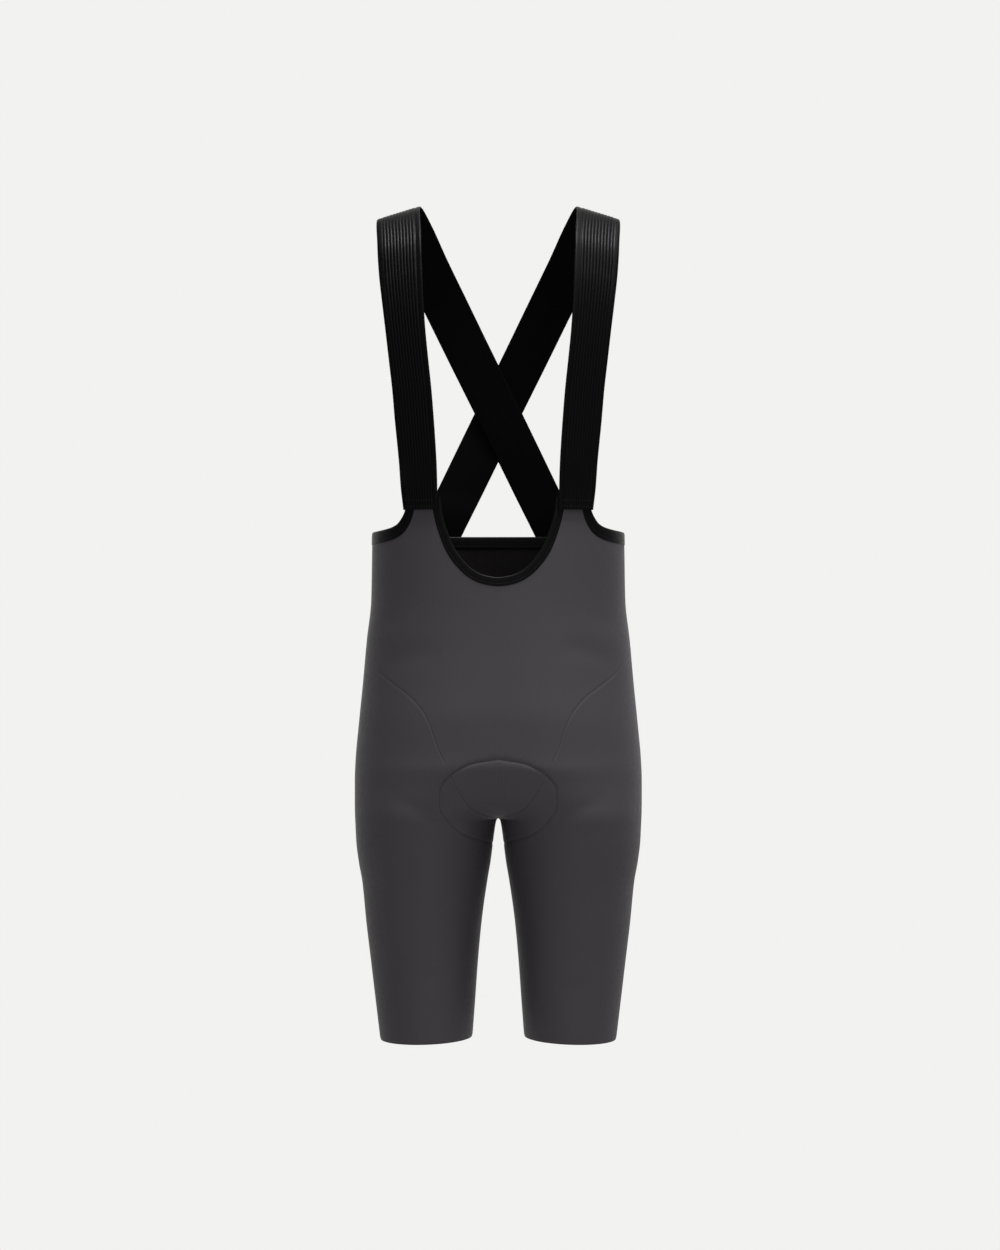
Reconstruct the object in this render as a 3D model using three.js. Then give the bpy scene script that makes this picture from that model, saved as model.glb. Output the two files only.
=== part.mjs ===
// Cycling bib shorts, hollow and filled out as they are when worn, held up by the two shoulder straps.
// Millimetres. +X is the wearer's left, -Y the front, +Z up.
// The origin is midway between the shoulders, level with the underside of both straps.

import * as THREE from "three";

// Cloth and seams
const CLOTH_THICK = 1.2;
const SEAM_GAP = 0.34;
const SIDE_SEAM_BEHIND = 10;
const CROTCH_HEIGHT = -633.7;

// Leg hems: level at the outside of the thigh, a little higher at the inside
const HEM_HEIGHT = -865;
const HEM_RISE = 3;

// Elastic bindings: a tape folded over the cloth's edge, thinner towards its own two edges
const BINDING_THICK = 2.3;
const BINDING_EDGE_THICK = 1.66;
const NECK_BINDING_WIDTH = 8;
const BODY_BINDING_WIDTH = 12;
const BODY_BINDING_WIDTH_AT_HORN = 10.4;
const BODY_BINDING_WIDENS = { from: -311, to: -335 };
const HORN_TOP = -301;

// Ribbed elastic straps
const STRAP_THICK = 1.9;
const STRAP_RIB_HEIGHT = 0.4;
const STRAP_RIB_COUNT = 10;
const STRAP_SELVEDGE_SHARE = 0.135;
const STRAP_SEAT = 1.25;
const STRAP_CROSSING = { middle: -205, reach: 110, lift: 2.3 };

// Seat pad
const PAD_THICK = 8;
const PAD_EDGE_THICK = 2.5;
const PAD_TAPER_LINES = 3;
const PAD_AXIS_HEIGHT = -560;
const PAD_AXIS_REACH = 160;

// How finely the pieces are divided. A crowding above 1 brings rows closer together towards the crotch.
const NECK_CELLS = 8;
const HORN_CELLS = 2;
const ARMHOLE_CELLS = 7;
const BACK_CELLS = 13;
const FRONT_ROWS = 14;
const FRONT_CROWDING = 1.5;
const BACK_ROWS = 8;
const LEG_TOP_ROWS = 12;
const LEG_TOP_CROWDING = 1.2;
const LEG_ROWS = 9;
const LEG_CROWDING = 1.35;
const LEG_SIDE_COLUMN_TURN = 96;
const STRAP_STATIONS = 37;
const STRAP_INSIDE_CELLS = 4;
const PAD_CELLS = 12;
const FINE_STEPS = 60;
const MM_PER_TURN = 2.2;

// Level sections of the body from the arm openings to the hems. Each half of a section is an oval: it
// reaches from inner to outer in x, front and back are its depths in y, and soft rounds the meeting of the
// two halves on the middle plane. Above the crotch the ovals overlap there; below it they are the legs,
// whose side towards the middle is a little leaner by pinch.
const SECTIONS = [
  { z: -296, outer: 131.0, inner: -131.0, front: 96, back: 84, soft: 0, pinch: 0 },
  { z: -345, outer: 132.3, inner: -132.3, front: 97, back: 85, soft: 0, pinch: 0 },
  { z: -405, outer: 133.4, inner: -133.4, front: 98, back: 86, soft: 0, pinch: 0 },
  { z: -447, outer: 138.0, inner: -130.0, front: 99, back: 90, soft: 4, pinch: 0 },
  { z: -489, outer: 141.8, inner: -118.8, front: 101, back: 99, soft: 12, pinch: 0 },
  { z: -531, outer: 146.0, inner: -98.0, front: 103, back: 110, soft: 24, pinch: 0 },
  { z: -573, outer: 149.8, inner: -72.0, front: 103, back: 116, soft: 40, pinch: 0 },
  { z: -594, outer: 150.6, inner: -42.0, front: 98.5, back: 115, soft: 40, pinch: 0 },
  { z: -614, outer: 150.6, inner: -12.0, front: 93.5, back: 111, soft: 31, pinch: 0 },
  { z: -624, outer: 150.5, inner: -2.0, front: 91.5, back: 108, soft: 18.5, pinch: 0 },
  { z: -629, outer: 150.4, inner: 1.0, front: 90.6, back: 106.5, soft: 11, pinch: 0 },
  { z: CROTCH_HEIGHT, outer: 150.2, inner: 3.0, front: 89.7, back: 105, soft: 3, pinch: 0 },
  { z: -645, outer: 149.7, inner: 4.5, front: 87.5, back: 102, soft: 2.6, pinch: 0.07 },
  { z: -657, outer: 149.1, inner: 5.8, front: 85.5, back: 98.5, soft: 2.4, pinch: 0.13 },
  { z: -679, outer: 146.4, inner: 8.4, front: 81.5, back: 92, soft: 2.4, pinch: 0.15 },
  { z: -699, outer: 142.8, inner: 11.7, front: 78, back: 86.5, soft: 2.4, pinch: 0.11 },
  { z: -741, outer: 138.6, inner: 17.5, front: 71.5, back: 78, soft: 2.4, pinch: 0.04 },
  { z: -783, outer: 133.6, inner: 21.4, front: 66, back: 71, soft: 2.4, pinch: 0 },
  { z: -825, outer: 128.6, inner: 24.4, front: 61.5, back: 65, soft: 2.4, pinch: 0 },
  { z: HEM_HEIGHT, outer: 123.8, inner: 27.4, front: 58, back: 60, soft: 2.4, pinch: 0 },
];

// Edges and seams drawn on the body, from the middle outwards: x from the middle, z height
const NECK_EDGE = [
  { x: 0, z: -390.4 },
  { x: 10, z: -389.3 },
  { x: 21, z: -386.2 },
  { x: 32, z: -379.7 },
  { x: 43, z: -368.7 },
  { x: 52, z: -355.5 },
  { x: 58, z: -341.3 },
  { x: 62.7, z: -326.8 },
  { x: 65.6, z: -313 },
  { x: 66.8, z: HORN_TOP },
];
const ARMHOLE_EDGE = [
  { x: 86.6, z: HORN_TOP },
  { x: 87.4, z: -312.6 },
  { x: 88.7, z: -319 },
  { x: 91.6, z: -326.3 },
  { x: 96.2, z: -333.5 },
  { x: 101.1, z: -338 },
  { x: 107.5, z: -341.4 },
  { x: 115.2, z: -343.6 },
  { x: 125, z: -345.3 },
];
const ARMHOLE_AT_SIDE = -346.5;
const BACK_EDGE_HEIGHT = -348;
const FRONT_SEAM = [
  { x: 0, z: -631 },
  { x: 7, z: -629.6 },
  { x: 21, z: -623.4 },
  { x: 30, z: -615.4 },
  { x: 39, z: -602.2 },
  { x: 46, z: -589.3 },
  { x: 51.5, z: -580.2 },
  { x: 55.3, z: -569.5 },
  { x: 60.6, z: -558.7 },
  { x: 66, z: -543.8 },
  { x: 71, z: -529.7 },
  { x: 79, z: -516.3 },
  { x: 90, z: -504.5 },
  { x: 102, z: -495.5 },
  { x: 113, z: -487.5 },
  { x: 122.5, z: -479.5 },
  { x: 130.5, z: -468.7 },
];
const SEAMS_AT_SIDE = -447;
const BACK_SEAM = [
  { x: 105, z: -466 },
  { x: 60, z: -490 },
  { x: 20, z: -506 },
  { x: 0, z: -509 },
];

// Edges of the strap over the wearer's left shoulder, from its front foot over the shoulder to its back
// end, which lies on the wearer's right. In is the edge nearer the neck, out the edge nearer the arm.
const STRAP_EDGES = [
  { xIn: 60.9, yIn: -87, zIn: -313, xOut: 95.9, yOut: -67, zOut: -313 },
  { xIn: 61.6, yIn: -89, zIn: -283, xOut: 99.5, yOut: -69.5, zOut: -283 },
  { xIn: 63.1, yIn: -90, zIn: -252, xOut: 102.5, yOut: -71, zOut: -252 },
  { xIn: 65.2, yIn: -90, zIn: -221, xOut: 105.6, yOut: -71.5, zOut: -221 },
  { xIn: 67.7, yIn: -89.5, zIn: -190, xOut: 108.3, yOut: -71.5, zOut: -190 },
  { xIn: 70.9, yIn: -87.5, zIn: -160, xOut: 111.8, yOut: -70, zOut: -160 },
  { xIn: 74, yIn: -84, zIn: -129, xOut: 115.5, yOut: -67.5, zOut: -129 },
  { xIn: 76.2, yIn: -77.5, zIn: -97, xOut: 119.3, yOut: -62, zOut: -99 },
  { xIn: 78, yIn: -66.5, zIn: -63, xOut: 122.8, yOut: -52, zOut: -70 },
  { xIn: 79.7, yIn: -45, zIn: -25, xOut: 125.3, yOut: -36, zOut: -37 },
  { xIn: 81.2, yIn: 0, zIn: 7, xOut: 126.3, yOut: 0, zOut: -7 },
  { xIn: 69.5, yIn: 38, zIn: -9, xOut: 113.6, yOut: 31, zOut: -28 },
  { xIn: 54.5, yIn: 60, zIn: -40, xOut: 98, yOut: 55, zOut: -59 },
  { xIn: 33.9, yIn: 77, zIn: -81, xOut: 77, yOut: 73, zOut: -100 },
  { xIn: 7.9, yIn: 86, zIn: -134, xOut: 50.6, yOut: 85, zOut: -153 },
  { xIn: -25.6, yIn: 90, zIn: -202, xOut: 17.1, yOut: 90, zOut: -220 },
  { xIn: -59.9, yIn: 81, zIn: -274, xOut: -16.5, yOut: 89, zOut: -289 },
  { xIn: -80.6, yIn: 70, zIn: -318, xOut: -34.6, yOut: 85, zOut: -326 },
  { xIn: -94.8, yIn: 61, zIn: -348, xOut: -45.2, yOut: 80, zOut: -348 },
];

// Where the strap lies on the body: wholly up to "on", no longer past "off"
const STRAP_ON_FRONT = { on: -298, off: -262 };
const STRAP_ON_BACK = { on: -328, off: -285 };

// The seat pad at angles round its axis, where 0 faces forward and 90 down: its half width along the cloth
// and its clearance from the cloth, which is wider where it bridges the bend into the legs
const PAD_LINES = [
  { angle: 4, halfWidth: 13, clear: 1.4 },
  { angle: 8, halfWidth: 32, clear: 1.4 },
  { angle: 14, halfWidth: 49, clear: 1.4 },
  { angle: 22, halfWidth: 58, clear: 1.5 },
  { angle: 31, halfWidth: 59, clear: 2.0 },
  { angle: 40, halfWidth: 53, clear: 2.7 },
  { angle: 50, halfWidth: 44, clear: 3.2 },
  { angle: 61, halfWidth: 34, clear: 3.2 },
  { angle: 74, halfWidth: 28, clear: 2.4 },
  { angle: 90, halfWidth: 26, clear: 2.4 },
  { angle: 104, halfWidth: 30, clear: 3.1 },
  { angle: 117, halfWidth: 41, clear: 4.0 },
  { angle: 130, halfWidth: 56, clear: 4.4 },
  { angle: 143, halfWidth: 69, clear: 3.2 },
  { angle: 156, halfWidth: 75, clear: 2.2 },
  { angle: 167, halfWidth: 70, clear: 1.8 },
  { angle: 174, halfWidth: 55, clear: 1.4 },
  { angle: 178, halfWidth: 30, clear: 1.4 },
];

const MATERIALS = {
  cloth: new THREE.MeshStandardMaterial({ color: 0x3f3e42, roughness: 0.8, metalness: 0 }),
  binding: new THREE.MeshStandardMaterial({ color: 0x101011, roughness: 0.6, metalness: 0 }),
  strap: new THREE.MeshStandardMaterial({ color: 0x0b0b0c, roughness: 0.55, metalness: 0 }),
  pad: new THREE.MeshStandardMaterial({ color: 0x2a2b2e, roughness: 0.9, metalness: 0 }),
};

// Tables

// One column of a table as a smooth function of another, which never overshoots the rows
function smoothColumn(table, by, column) {
  const rows = [...table].sort((a, b) => a[by] - b[by]);
  const at = rows.map((row) => row[by]);
  const value = rows.map((row) => row[column]);
  const last = rows.length - 1;
  const step = at.slice(1).map((next, i) => next - at[i]);
  const slope = step.map((width, i) => (value[i + 1] - value[i]) / width);
  const tangent = value.map((_, i) => {
    if (i === 0) return slope[0];
    if (i === last) return slope[last - 1];
    if (slope[i - 1] * slope[i] <= 0) return 0;
    const before = 2 * step[i] + step[i - 1];
    const after = step[i] + 2 * step[i - 1];
    return (before + after) / (before / slope[i - 1] + after / slope[i]);
  });
  return (x) => {
    const clamped = Math.min(Math.max(x, at[0]), at[last]);
    let i = 0;
    while (i < last - 1 && clamped > at[i + 1]) i += 1;
    const t = (clamped - at[i]) / step[i];
    const eased = value[i] + (value[i + 1] - value[i]) * t * t * (3 - 2 * t);
    return eased + t * (1 - t) * step[i] * ((1 - t) * tangent[i] - t * tangent[i + 1]);
  };
}

// The body's surface

const sectionColumn = {};
for (const column of ["outer", "inner", "front", "back", "soft", "pinch"]) {
  sectionColumn[column] = smoothColumn(SECTIONS, "z", column);
}

function sectionAt(z) {
  const soft = sectionColumn.soft(z);
  const reach = Math.hypot(sectionColumn.outer(z), soft);
  const inner = sectionColumn.inner(z);
  const middle = (reach + inner) / 2;
  const half = (reach - inner) / 2;
  const start = Math.asin(Math.max(-1, (soft - middle) / half));
  return {
    soft,
    middle,
    half,
    start,
    front: sectionColumn.front(z),
    back: sectionColumn.back(z),
    lean: 1 + sectionColumn.pinch(z),
  };
}

// Point of the +X half: turn runs from 0 at the front middle over 90 at the side to 180 at the back middle,
// and below the crotch from the inside of the leg round to the inside again
function halfPoint(turn, z) {
  const s = sectionAt(z);
  const angle = s.start + (Math.PI - 2 * s.start) * (turn / 180);
  const along = s.middle + s.half * Math.sin(angle);
  const x = Math.sqrt(Math.max(0, along * along - s.soft * s.soft));
  const through = Math.abs(Math.cos(angle)) ** (Math.sin(angle) < 0 ? s.lean : 1);
  return new THREE.Vector3(x, Math.cos(angle) > 0 ? -through * s.front : through * s.back, z);
}

// Point of the whole body above the crotch: turn runs on past the back middle to the -X side
function bodyPoint(turn, z) {
  const wrapped = THREE.MathUtils.euclideanModulo(turn + 180, 360) - 180;
  const point = halfPoint(Math.abs(wrapped), z);
  if (wrapped < 0) point.x = -point.x;
  return point;
}

// Turn of the point at a given distance from the middle, on the front or the back
function turnAtX(x, z, onBack = false) {
  const s = sectionAt(z);
  const angle = Math.asin(Math.min(1, (Math.hypot(x, s.soft) - s.middle) / s.half));
  const turn = (180 * (angle - s.start)) / (Math.PI - 2 * s.start);
  return onBack ? 180 - turn : turn;
}

// Turn of the side seam, which runs a little behind the widest point
function turnAtSide(z) {
  const s = sectionAt(z);
  const angle = Math.PI / 2 + Math.asin(SIDE_SEAM_BEHIND / s.back);
  return (180 * (angle - s.start)) / (Math.PI - 2 * s.start);
}

// Below 0 inside the body, above 0 outside it
function surfaceValue(p) {
  const s = sectionAt(p.z);
  const across = (Math.hypot(p.x, s.soft) - s.middle) / s.half;
  const through = Math.abs(p.y) / (p.y < 0 ? s.front : s.back);
  return across ** 2 + through ** (across < 0 ? 2 / s.lean : 2) - 1;
}

function surfaceGradient(p) {
  const step = 0.02;
  const gradient = new THREE.Vector3();
  for (const axis of ["x", "y", "z"]) {
    const ahead = p.clone();
    const behind = p.clone();
    ahead[axis] += step;
    behind[axis] -= step;
    gradient[axis] = (surfaceValue(ahead) - surfaceValue(behind)) / (2 * step);
  }
  return gradient;
}

function outward(p) {
  return surfaceGradient(p).normalize();
}

// Nearest point of the surface, found along the gradient
function ontoSurface(p) {
  const point = p.clone();
  for (let i = 0; i < 6; i += 1) {
    const gradient = surfaceGradient(point);
    point.addScaledVector(gradient, -surfaceValue(point) / gradient.lengthSq());
  }
  return point;
}

// Lines and grids on the surface

// Rows { x, z } on the front or the back as places { turn, z }
function placesFrom(rows, onBack = false) {
  return rows.map(({ x, z }) => ({ turn: turnAtX(x, z, onBack), z }));
}

function mirroredPlaces(places) {
  return places.map(({ turn, z }) => ({ turn: -turn, z }));
}

// Evenly spaced samples along a chain of places, measured on the surface
function spaced(places, cells, pointAt = bodyPoint) {
  const points = places.map(({ turn, z }) => pointAt(turn, z));
  const length = [0];
  for (let i = 1; i < points.length; i += 1) {
    length.push(length[i - 1] + points[i].distanceTo(points[i - 1]));
  }
  const samples = [];
  let i = 1;
  for (let k = 0; k <= cells; k += 1) {
    const target = (length[length.length - 1] * k) / cells;
    while (i < places.length - 1 && length[i] < target) i += 1;
    const t = (target - length[i - 1]) / (length[i] - length[i - 1]);
    samples.push({
      turn: THREE.MathUtils.lerp(places[i - 1].turn, places[i].turn, t),
      z: THREE.MathUtils.lerp(places[i - 1].z, places[i].z, t),
    });
  }
  return samples;
}

// Straight run of places from one to another
function run(from, to) {
  return Array.from({ length: FINE_STEPS + 1 }, (_, k) => ({
    turn: THREE.MathUtils.lerp(from.turn, to.turn, k / FINE_STEPS),
    z: THREE.MathUtils.lerp(from.z, to.z, k / FINE_STEPS),
  }));
}

// Smooth line through places, sampled evenly. A degree of turn is about MM_PER_TURN long.
function smoothLine(places, cells) {
  const knots = places.map(({ turn, z }) => new THREE.Vector3(turn * MM_PER_TURN, z, 0));
  const curve = new THREE.CatmullRomCurve3(knots, false, "centripetal");
  const fine = curve.getPoints(knots.length * FINE_STEPS).map((p) => ({ turn: p.x / MM_PER_TURN, z: p.y }));
  return spaced(fine, cells);
}

// Grid of surface points with one column from each place of the top line to its partner below
function gridBetween(top, bottom, rows, pointAt = bodyPoint, crowding = 1) {
  const grid = Array.from({ length: rows + 1 }, () => []);
  top.forEach((from, column) => {
    const even = spaced(run(from, bottom[column]), FINE_STEPS, pointAt);
    grid.forEach((line, row) => {
      const place = FINE_STEPS * (1 - (1 - row / rows) ** crowding);
      const [above, below] = [even[Math.floor(place)], even[Math.ceil(place)]];
      const t = place - Math.floor(place);
      line.push(pointAt(
        THREE.MathUtils.lerp(above.turn, below.turn, t),
        THREE.MathUtils.lerp(above.z, below.z, t),
      ));
    });
  });
  return grid;
}

// Direction in the surface, square to an edge that runs from one point to another
function squareToEdge(point, from, to, towards) {
  const along = to.clone().sub(from);
  const direction = outward(point).cross(along).normalize();
  return direction.dot(towards.clone().sub(point)) < 0 ? direction.negate() : direction;
}

// The grid with its named edges drawn back by half a seam gap
function drawnBack(grid, edges) {
  const rows = grid.length - 1;
  const columns = grid[0].length - 1;
  const moved = grid.map((line) => line.map((p) => p.clone()));
  const along = (i, last) => [Math.max(0, i - 1), Math.min(last, i + 1)];
  const draw = (row, column, from, to, inside) => {
    const direction = squareToEdge(grid[row][column], from, to, inside);
    moved[row][column].addScaledVector(direction, SEAM_GAP / 2);
  };
  for (let c = 0; c <= columns; c += 1) {
    const [left, right] = along(c, columns);
    if (edges.includes("top")) draw(0, c, grid[0][left], grid[0][right], grid[1][c]);
    if (edges.includes("bottom")) draw(rows, c, grid[rows][left], grid[rows][right], grid[rows - 1][c]);
  }
  for (let r = 0; r <= rows; r += 1) {
    const [above, below] = along(r, rows);
    if (edges.includes("first")) draw(r, 0, grid[above][0], grid[below][0], grid[r][1]);
    const [before, after, inside] = [grid[above][columns], grid[below][columns], grid[r][columns - 1]];
    if (edges.includes("last")) draw(r, columns, before, after, inside);
  }
  return moved;
}

// Solids

// Closed body from points and triangles, turned so that its faces point out
function solid(points, triangles) {
  let volume = 0;
  for (const [a, b, c] of triangles) {
    volume += points[a].dot(points[b].clone().cross(points[c]));
  }
  const ordered = volume < 0 ? triangles.map(([a, b, c]) => [a, c, b]) : triangles;
  const geometry = new THREE.BufferGeometry().setFromPoints(points);
  geometry.setIndex(ordered.flat());
  geometry.computeVertexNormals();
  return geometry;
}

// Wall of cloth: the grid is its outer face, and its inner face lies a thickness behind.
// From the row closedFrom on, the last column is the first one again, as round a leg.
function wall(grid, behind, closedFrom = Infinity) {
  const rows = grid.length - 1;
  const columns = grid[0].length - 1;
  const points = [];
  const number = { outer: [], inner: [] };
  grid.forEach((line, r) => {
    number.outer.push([]);
    number.inner.push([]);
    line.forEach((p, c) => {
      if (c === columns && r >= closedFrom) {
        number.outer[r].push(number.outer[r][0]);
        number.inner[r].push(number.inner[r][0]);
        return;
      }
      number.outer[r].push(points.push(p) - 1);
      number.inner[r].push(points.push(behind(p, r, c)) - 1);
    });
  });
  const triangles = [];
  const quad = (a, b, c, d) => {
    const shorter = points[a].distanceTo(points[c]) <= points[b].distanceTo(points[d]);
    if (shorter) triangles.push([a, b, c], [a, c, d]);
    else triangles.push([b, c, d], [b, d, a]);
  };
  const { outer, inner } = number;
  for (let r = 0; r < rows; r += 1) {
    for (let c = 0; c < columns; c += 1) {
      quad(outer[r][c], outer[r + 1][c], outer[r + 1][c + 1], outer[r][c + 1]);
      quad(inner[r][c], inner[r][c + 1], inner[r + 1][c + 1], inner[r + 1][c]);
    }
  }
  for (let c = 0; c < columns; c += 1) {
    quad(outer[0][c], outer[0][c + 1], inner[0][c + 1], inner[0][c]);
    quad(outer[rows][c + 1], outer[rows][c], inner[rows][c], inner[rows][c + 1]);
  }
  for (let r = 0; r < Math.min(rows, closedFrom); r += 1) {
    quad(outer[r + 1][0], outer[r][0], inner[r][0], inner[r + 1][0]);
    quad(outer[r][columns], outer[r + 1][columns], inner[r + 1][columns], inner[r][columns]);
  }
  return solid(points, triangles);
}

function clothWall(grid, closedFrom) {
  return wall(grid, (p) => p.clone().addScaledVector(outward(p), -CLOTH_THICK), closedFrom);
}

// Skin over rings of equally many points, closed at both ends by the profile's own triangles
function loft(rings, profile) {
  const size = profile.length;
  const triangles = [];
  for (let k = 0; k < rings.length - 1; k += 1) {
    for (let i = 0; i < size; i += 1) {
      const j = (i + 1) % size;
      const [a, b] = [k * size + i, k * size + j];
      triangles.push([a, b, b + size], [a, b + size, a + size]);
    }
  }
  const lastRing = (rings.length - 1) * size;
  const contour = profile.map(([across, out]) => new THREE.Vector2(across, out));
  const turned = THREE.ShapeUtils.isClockWise(contour);
  for (const [a, b, c] of THREE.ShapeUtils.triangulateShape(contour, [])) {
    const [p, q] = turned ? [b, c] : [c, b];
    triangles.push([a, p, q], [lastRing + a, lastRing + q, lastRing + p]);
  }
  return solid(rings.flat(), triangles);
}

function mirrored(geometry) {
  const points = [];
  const position = geometry.getAttribute("position");
  for (let i = 0; i < position.count; i += 1) {
    points.push(new THREE.Vector3(-position.getX(i), position.getY(i), position.getZ(i)));
  }
  const index = geometry.getIndex().array;
  const triangles = [];
  for (let i = 0; i < index.length; i += 3) triangles.push([index[i], index[i + 2], index[i + 1]]);
  return solid(points, triangles);
}

function piece(name, geometry, material) {
  const mesh = new THREE.Mesh(geometry, material);
  mesh.name = name;
  return mesh;
}

// The shared edges and seams

const neckHalf = placesFrom(NECK_EDGE);
const armholeRows = [...placesFrom(ARMHOLE_EDGE), { turn: turnAtSide(ARMHOLE_AT_SIDE), z: ARMHOLE_AT_SIDE }];
const seamHalf = [...placesFrom(FRONT_SEAM), { turn: turnAtSide(SEAMS_AT_SIDE), z: SEAMS_AT_SIDE }];
const backHalf = [{ turn: turnAtSide(SEAMS_AT_SIDE), z: SEAMS_AT_SIDE }, ...placesFrom(BACK_SEAM, true)];

// A line over the middle, from the -X side to the +X side, mirrored at the front or the back middle
function acrossFront(half) {
  return [...mirroredPlaces(half.slice(1)).reverse(), ...half];
}

function acrossBack(half) {
  const farHalf = half.slice(0, -1).map(({ turn, z }) => ({ turn: 360 - turn, z }));
  return [...half, ...farHalf.reverse()];
}

const FRONT_CELLS = NECK_CELLS + HORN_CELLS + ARMHOLE_CELLS;
const neckEdge = smoothLine(acrossFront(neckHalf), 2 * NECK_CELLS);
const hornEdge = spaced([neckHalf[neckHalf.length - 1], armholeRows[0]], HORN_CELLS);
const armholeEdge = smoothLine(armholeRows, ARMHOLE_CELLS);
const frontSeam = smoothLine(acrossFront(seamHalf), 2 * FRONT_CELLS);
const backSeam = smoothLine(acrossBack(backHalf), 2 * BACK_CELLS);
const sideTop = armholeRows[armholeRows.length - 1];
const backEdge = smoothLine(
  acrossBack([sideTop, { turn: 120, z: BACK_EDGE_HEIGHT }, { turn: 180, z: BACK_EDGE_HEIGHT }]),
  2 * BACK_CELLS,
);

// Panels

function frontPanel() {
  const halfTop = [...neckEdge.slice(NECK_CELLS), ...hornEdge.slice(1), ...armholeEdge.slice(1)];
  const grid = gridBetween(acrossFront(halfTop), frontSeam, FRONT_ROWS, bodyPoint, FRONT_CROWDING);
  return clothWall(drawnBack(grid, ["top", "bottom", "first", "last"]));
}

function backPanel() {
  const grid = gridBetween(backEdge, backSeam, BACK_ROWS);
  return clothWall(drawnBack(grid, ["top", "bottom", "first", "last"]));
}

// Leg panel of the +X side: open along the middle down to the crotch, a tube from there to the hem
function legPanel() {
  const seam = [...frontSeam.slice(FRONT_CELLS), ...backSeam.slice(1, BACK_CELLS + 1)];
  const atCrotch = (turn) => ({ turn, z: CROTCH_HEIGHT });
  const level = (from, to, cells) => spaced(run(atCrotch(from), atCrotch(to)), cells, halfPoint);
  const frontRing = level(0, LEG_SIDE_COLUMN_TURN, FRONT_CELLS);
  const ring = [...frontRing, ...level(LEG_SIDE_COLUMN_TURN, 180, BACK_CELLS).slice(1)];
  const top = drawnBack(gridBetween(seam, ring, LEG_TOP_ROWS, halfPoint, LEG_TOP_CROWDING), ["top"]);
  const { outer, inner } = SECTIONS[SECTIONS.length - 1];
  const hemAt = (turn) => {
    const fromOuter = (outer - halfPoint(turn, HEM_HEIGHT).x) / (outer - inner);
    return HEM_HEIGHT + HEM_RISE * fromOuter;
  };
  const grid = [...top];
  for (let row = 1; row <= LEG_ROWS; row += 1) {
    const down = (row / LEG_ROWS) ** LEG_CROWDING;
    grid.push(ring.map(({ turn }) => halfPoint(turn, THREE.MathUtils.lerp(CROTCH_HEIGHT, hemAt(turn), down))));
  }
  const apart = grid.map((line) => line.map((p) => p.clone().setX(p.x + SEAM_GAP / 2)));
  return wall(
    apart,
    (p, r, c) => p.clone().addScaledVector(outward(grid[r][c]), -CLOTH_THICK),
    LEG_TOP_ROWS,
  );
}

// Bindings

// Section of a binding, centred on the cloth: share of its width from the cloth's edge to the free edge,
// and distance out from the cloth's outer face
const BINDING_PROFILE = [
  [0, (BINDING_EDGE_THICK - CLOTH_THICK) / 2],
  [0.5, (BINDING_THICK - CLOTH_THICK) / 2],
  [1, (BINDING_EDGE_THICK - CLOTH_THICK) / 2],
  [1, -(BINDING_EDGE_THICK + CLOTH_THICK) / 2],
  [0.5, -(BINDING_THICK + CLOTH_THICK) / 2],
  [0, -(BINDING_EDGE_THICK + CLOTH_THICK) / 2],
];

// Tape along an edge of the panels. openSide gives a point on the open side of each point of the edge.
function binding(edge, widthAt, openSide) {
  const line = edge.map(({ turn, z }) => bodyPoint(turn, z));
  const rings = line.map((point, k) => {
    const from = line[Math.max(0, k - 1)];
    const to = line[Math.min(line.length - 1, k + 1)];
    const open = squareToEdge(point, from, to, openSide(point));
    const width = widthAt(edge[k]);
    return BINDING_PROFILE.map(([share, out]) => {
      const across = SEAM_GAP / 2 + share * (width - SEAM_GAP / 2);
      const place = ontoSurface(point.clone().addScaledVector(open, across));
      return place.addScaledVector(outward(place), out);
    });
  });
  return loft(rings, BINDING_PROFILE);
}

function neckBinding() {
  const aboveScoop = bodyPoint(0, HORN_TOP);
  return binding(neckEdge, () => NECK_BINDING_WIDTH, () => aboveScoop);
}

function bodyBinding() {
  const farArmhole = armholeEdge.slice(0, -1).map(({ turn, z }) => ({ turn: 360 - turn, z })).reverse();
  const edge = [...armholeEdge, ...backEdge.slice(1), ...farArmhole];
  const { from, to } = BODY_BINDING_WIDENS;
  const widthAt = ({ z }) => THREE.MathUtils.lerp(
    BODY_BINDING_WIDTH,
    BODY_BINDING_WIDTH_AT_HORN,
    THREE.MathUtils.smoothstep(z, to, from),
  );
  const aboveSide = bodyPoint(turnAtSide(HORN_TOP), HORN_TOP);
  const openSide = (point) => {
    const above = point.clone().setZ(HORN_TOP);
    return point.y < 0 ? above.setX(Math.sign(point.x) * aboveSide.x) : above;
  };
  return binding(edge, widthAt, openSide);
}

// Straps

// Outline of a strap's section: ribs and plain selvedges outside, plain inside
function strapProfile() {
  const profile = [[0, STRAP_THICK]];
  const ribZone = 1 - 2 * STRAP_SELVEDGE_SHARE;
  for (let i = 0; i <= 2 * STRAP_RIB_COUNT; i += 1) {
    const raised = i % 2 === 1 ? STRAP_RIB_HEIGHT : 0;
    const across = STRAP_SELVEDGE_SHARE + (ribZone * i) / (2 * STRAP_RIB_COUNT);
    profile.push([across, STRAP_THICK + raised]);
  }
  profile.push([1, STRAP_THICK]);
  for (let i = STRAP_INSIDE_CELLS; i >= 0; i -= 1) profile.push([i / STRAP_INSIDE_CELLS, 0]);
  return profile;
}

// How far a point of the strap lies on the body: 1 on it, 0 clear of it
function seatedShare({ y, z }) {
  const { on, off } = y < 0 ? STRAP_ON_FRONT : STRAP_ON_BACK;
  return 1 - THREE.MathUtils.smoothstep(z, on, off);
}

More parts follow.
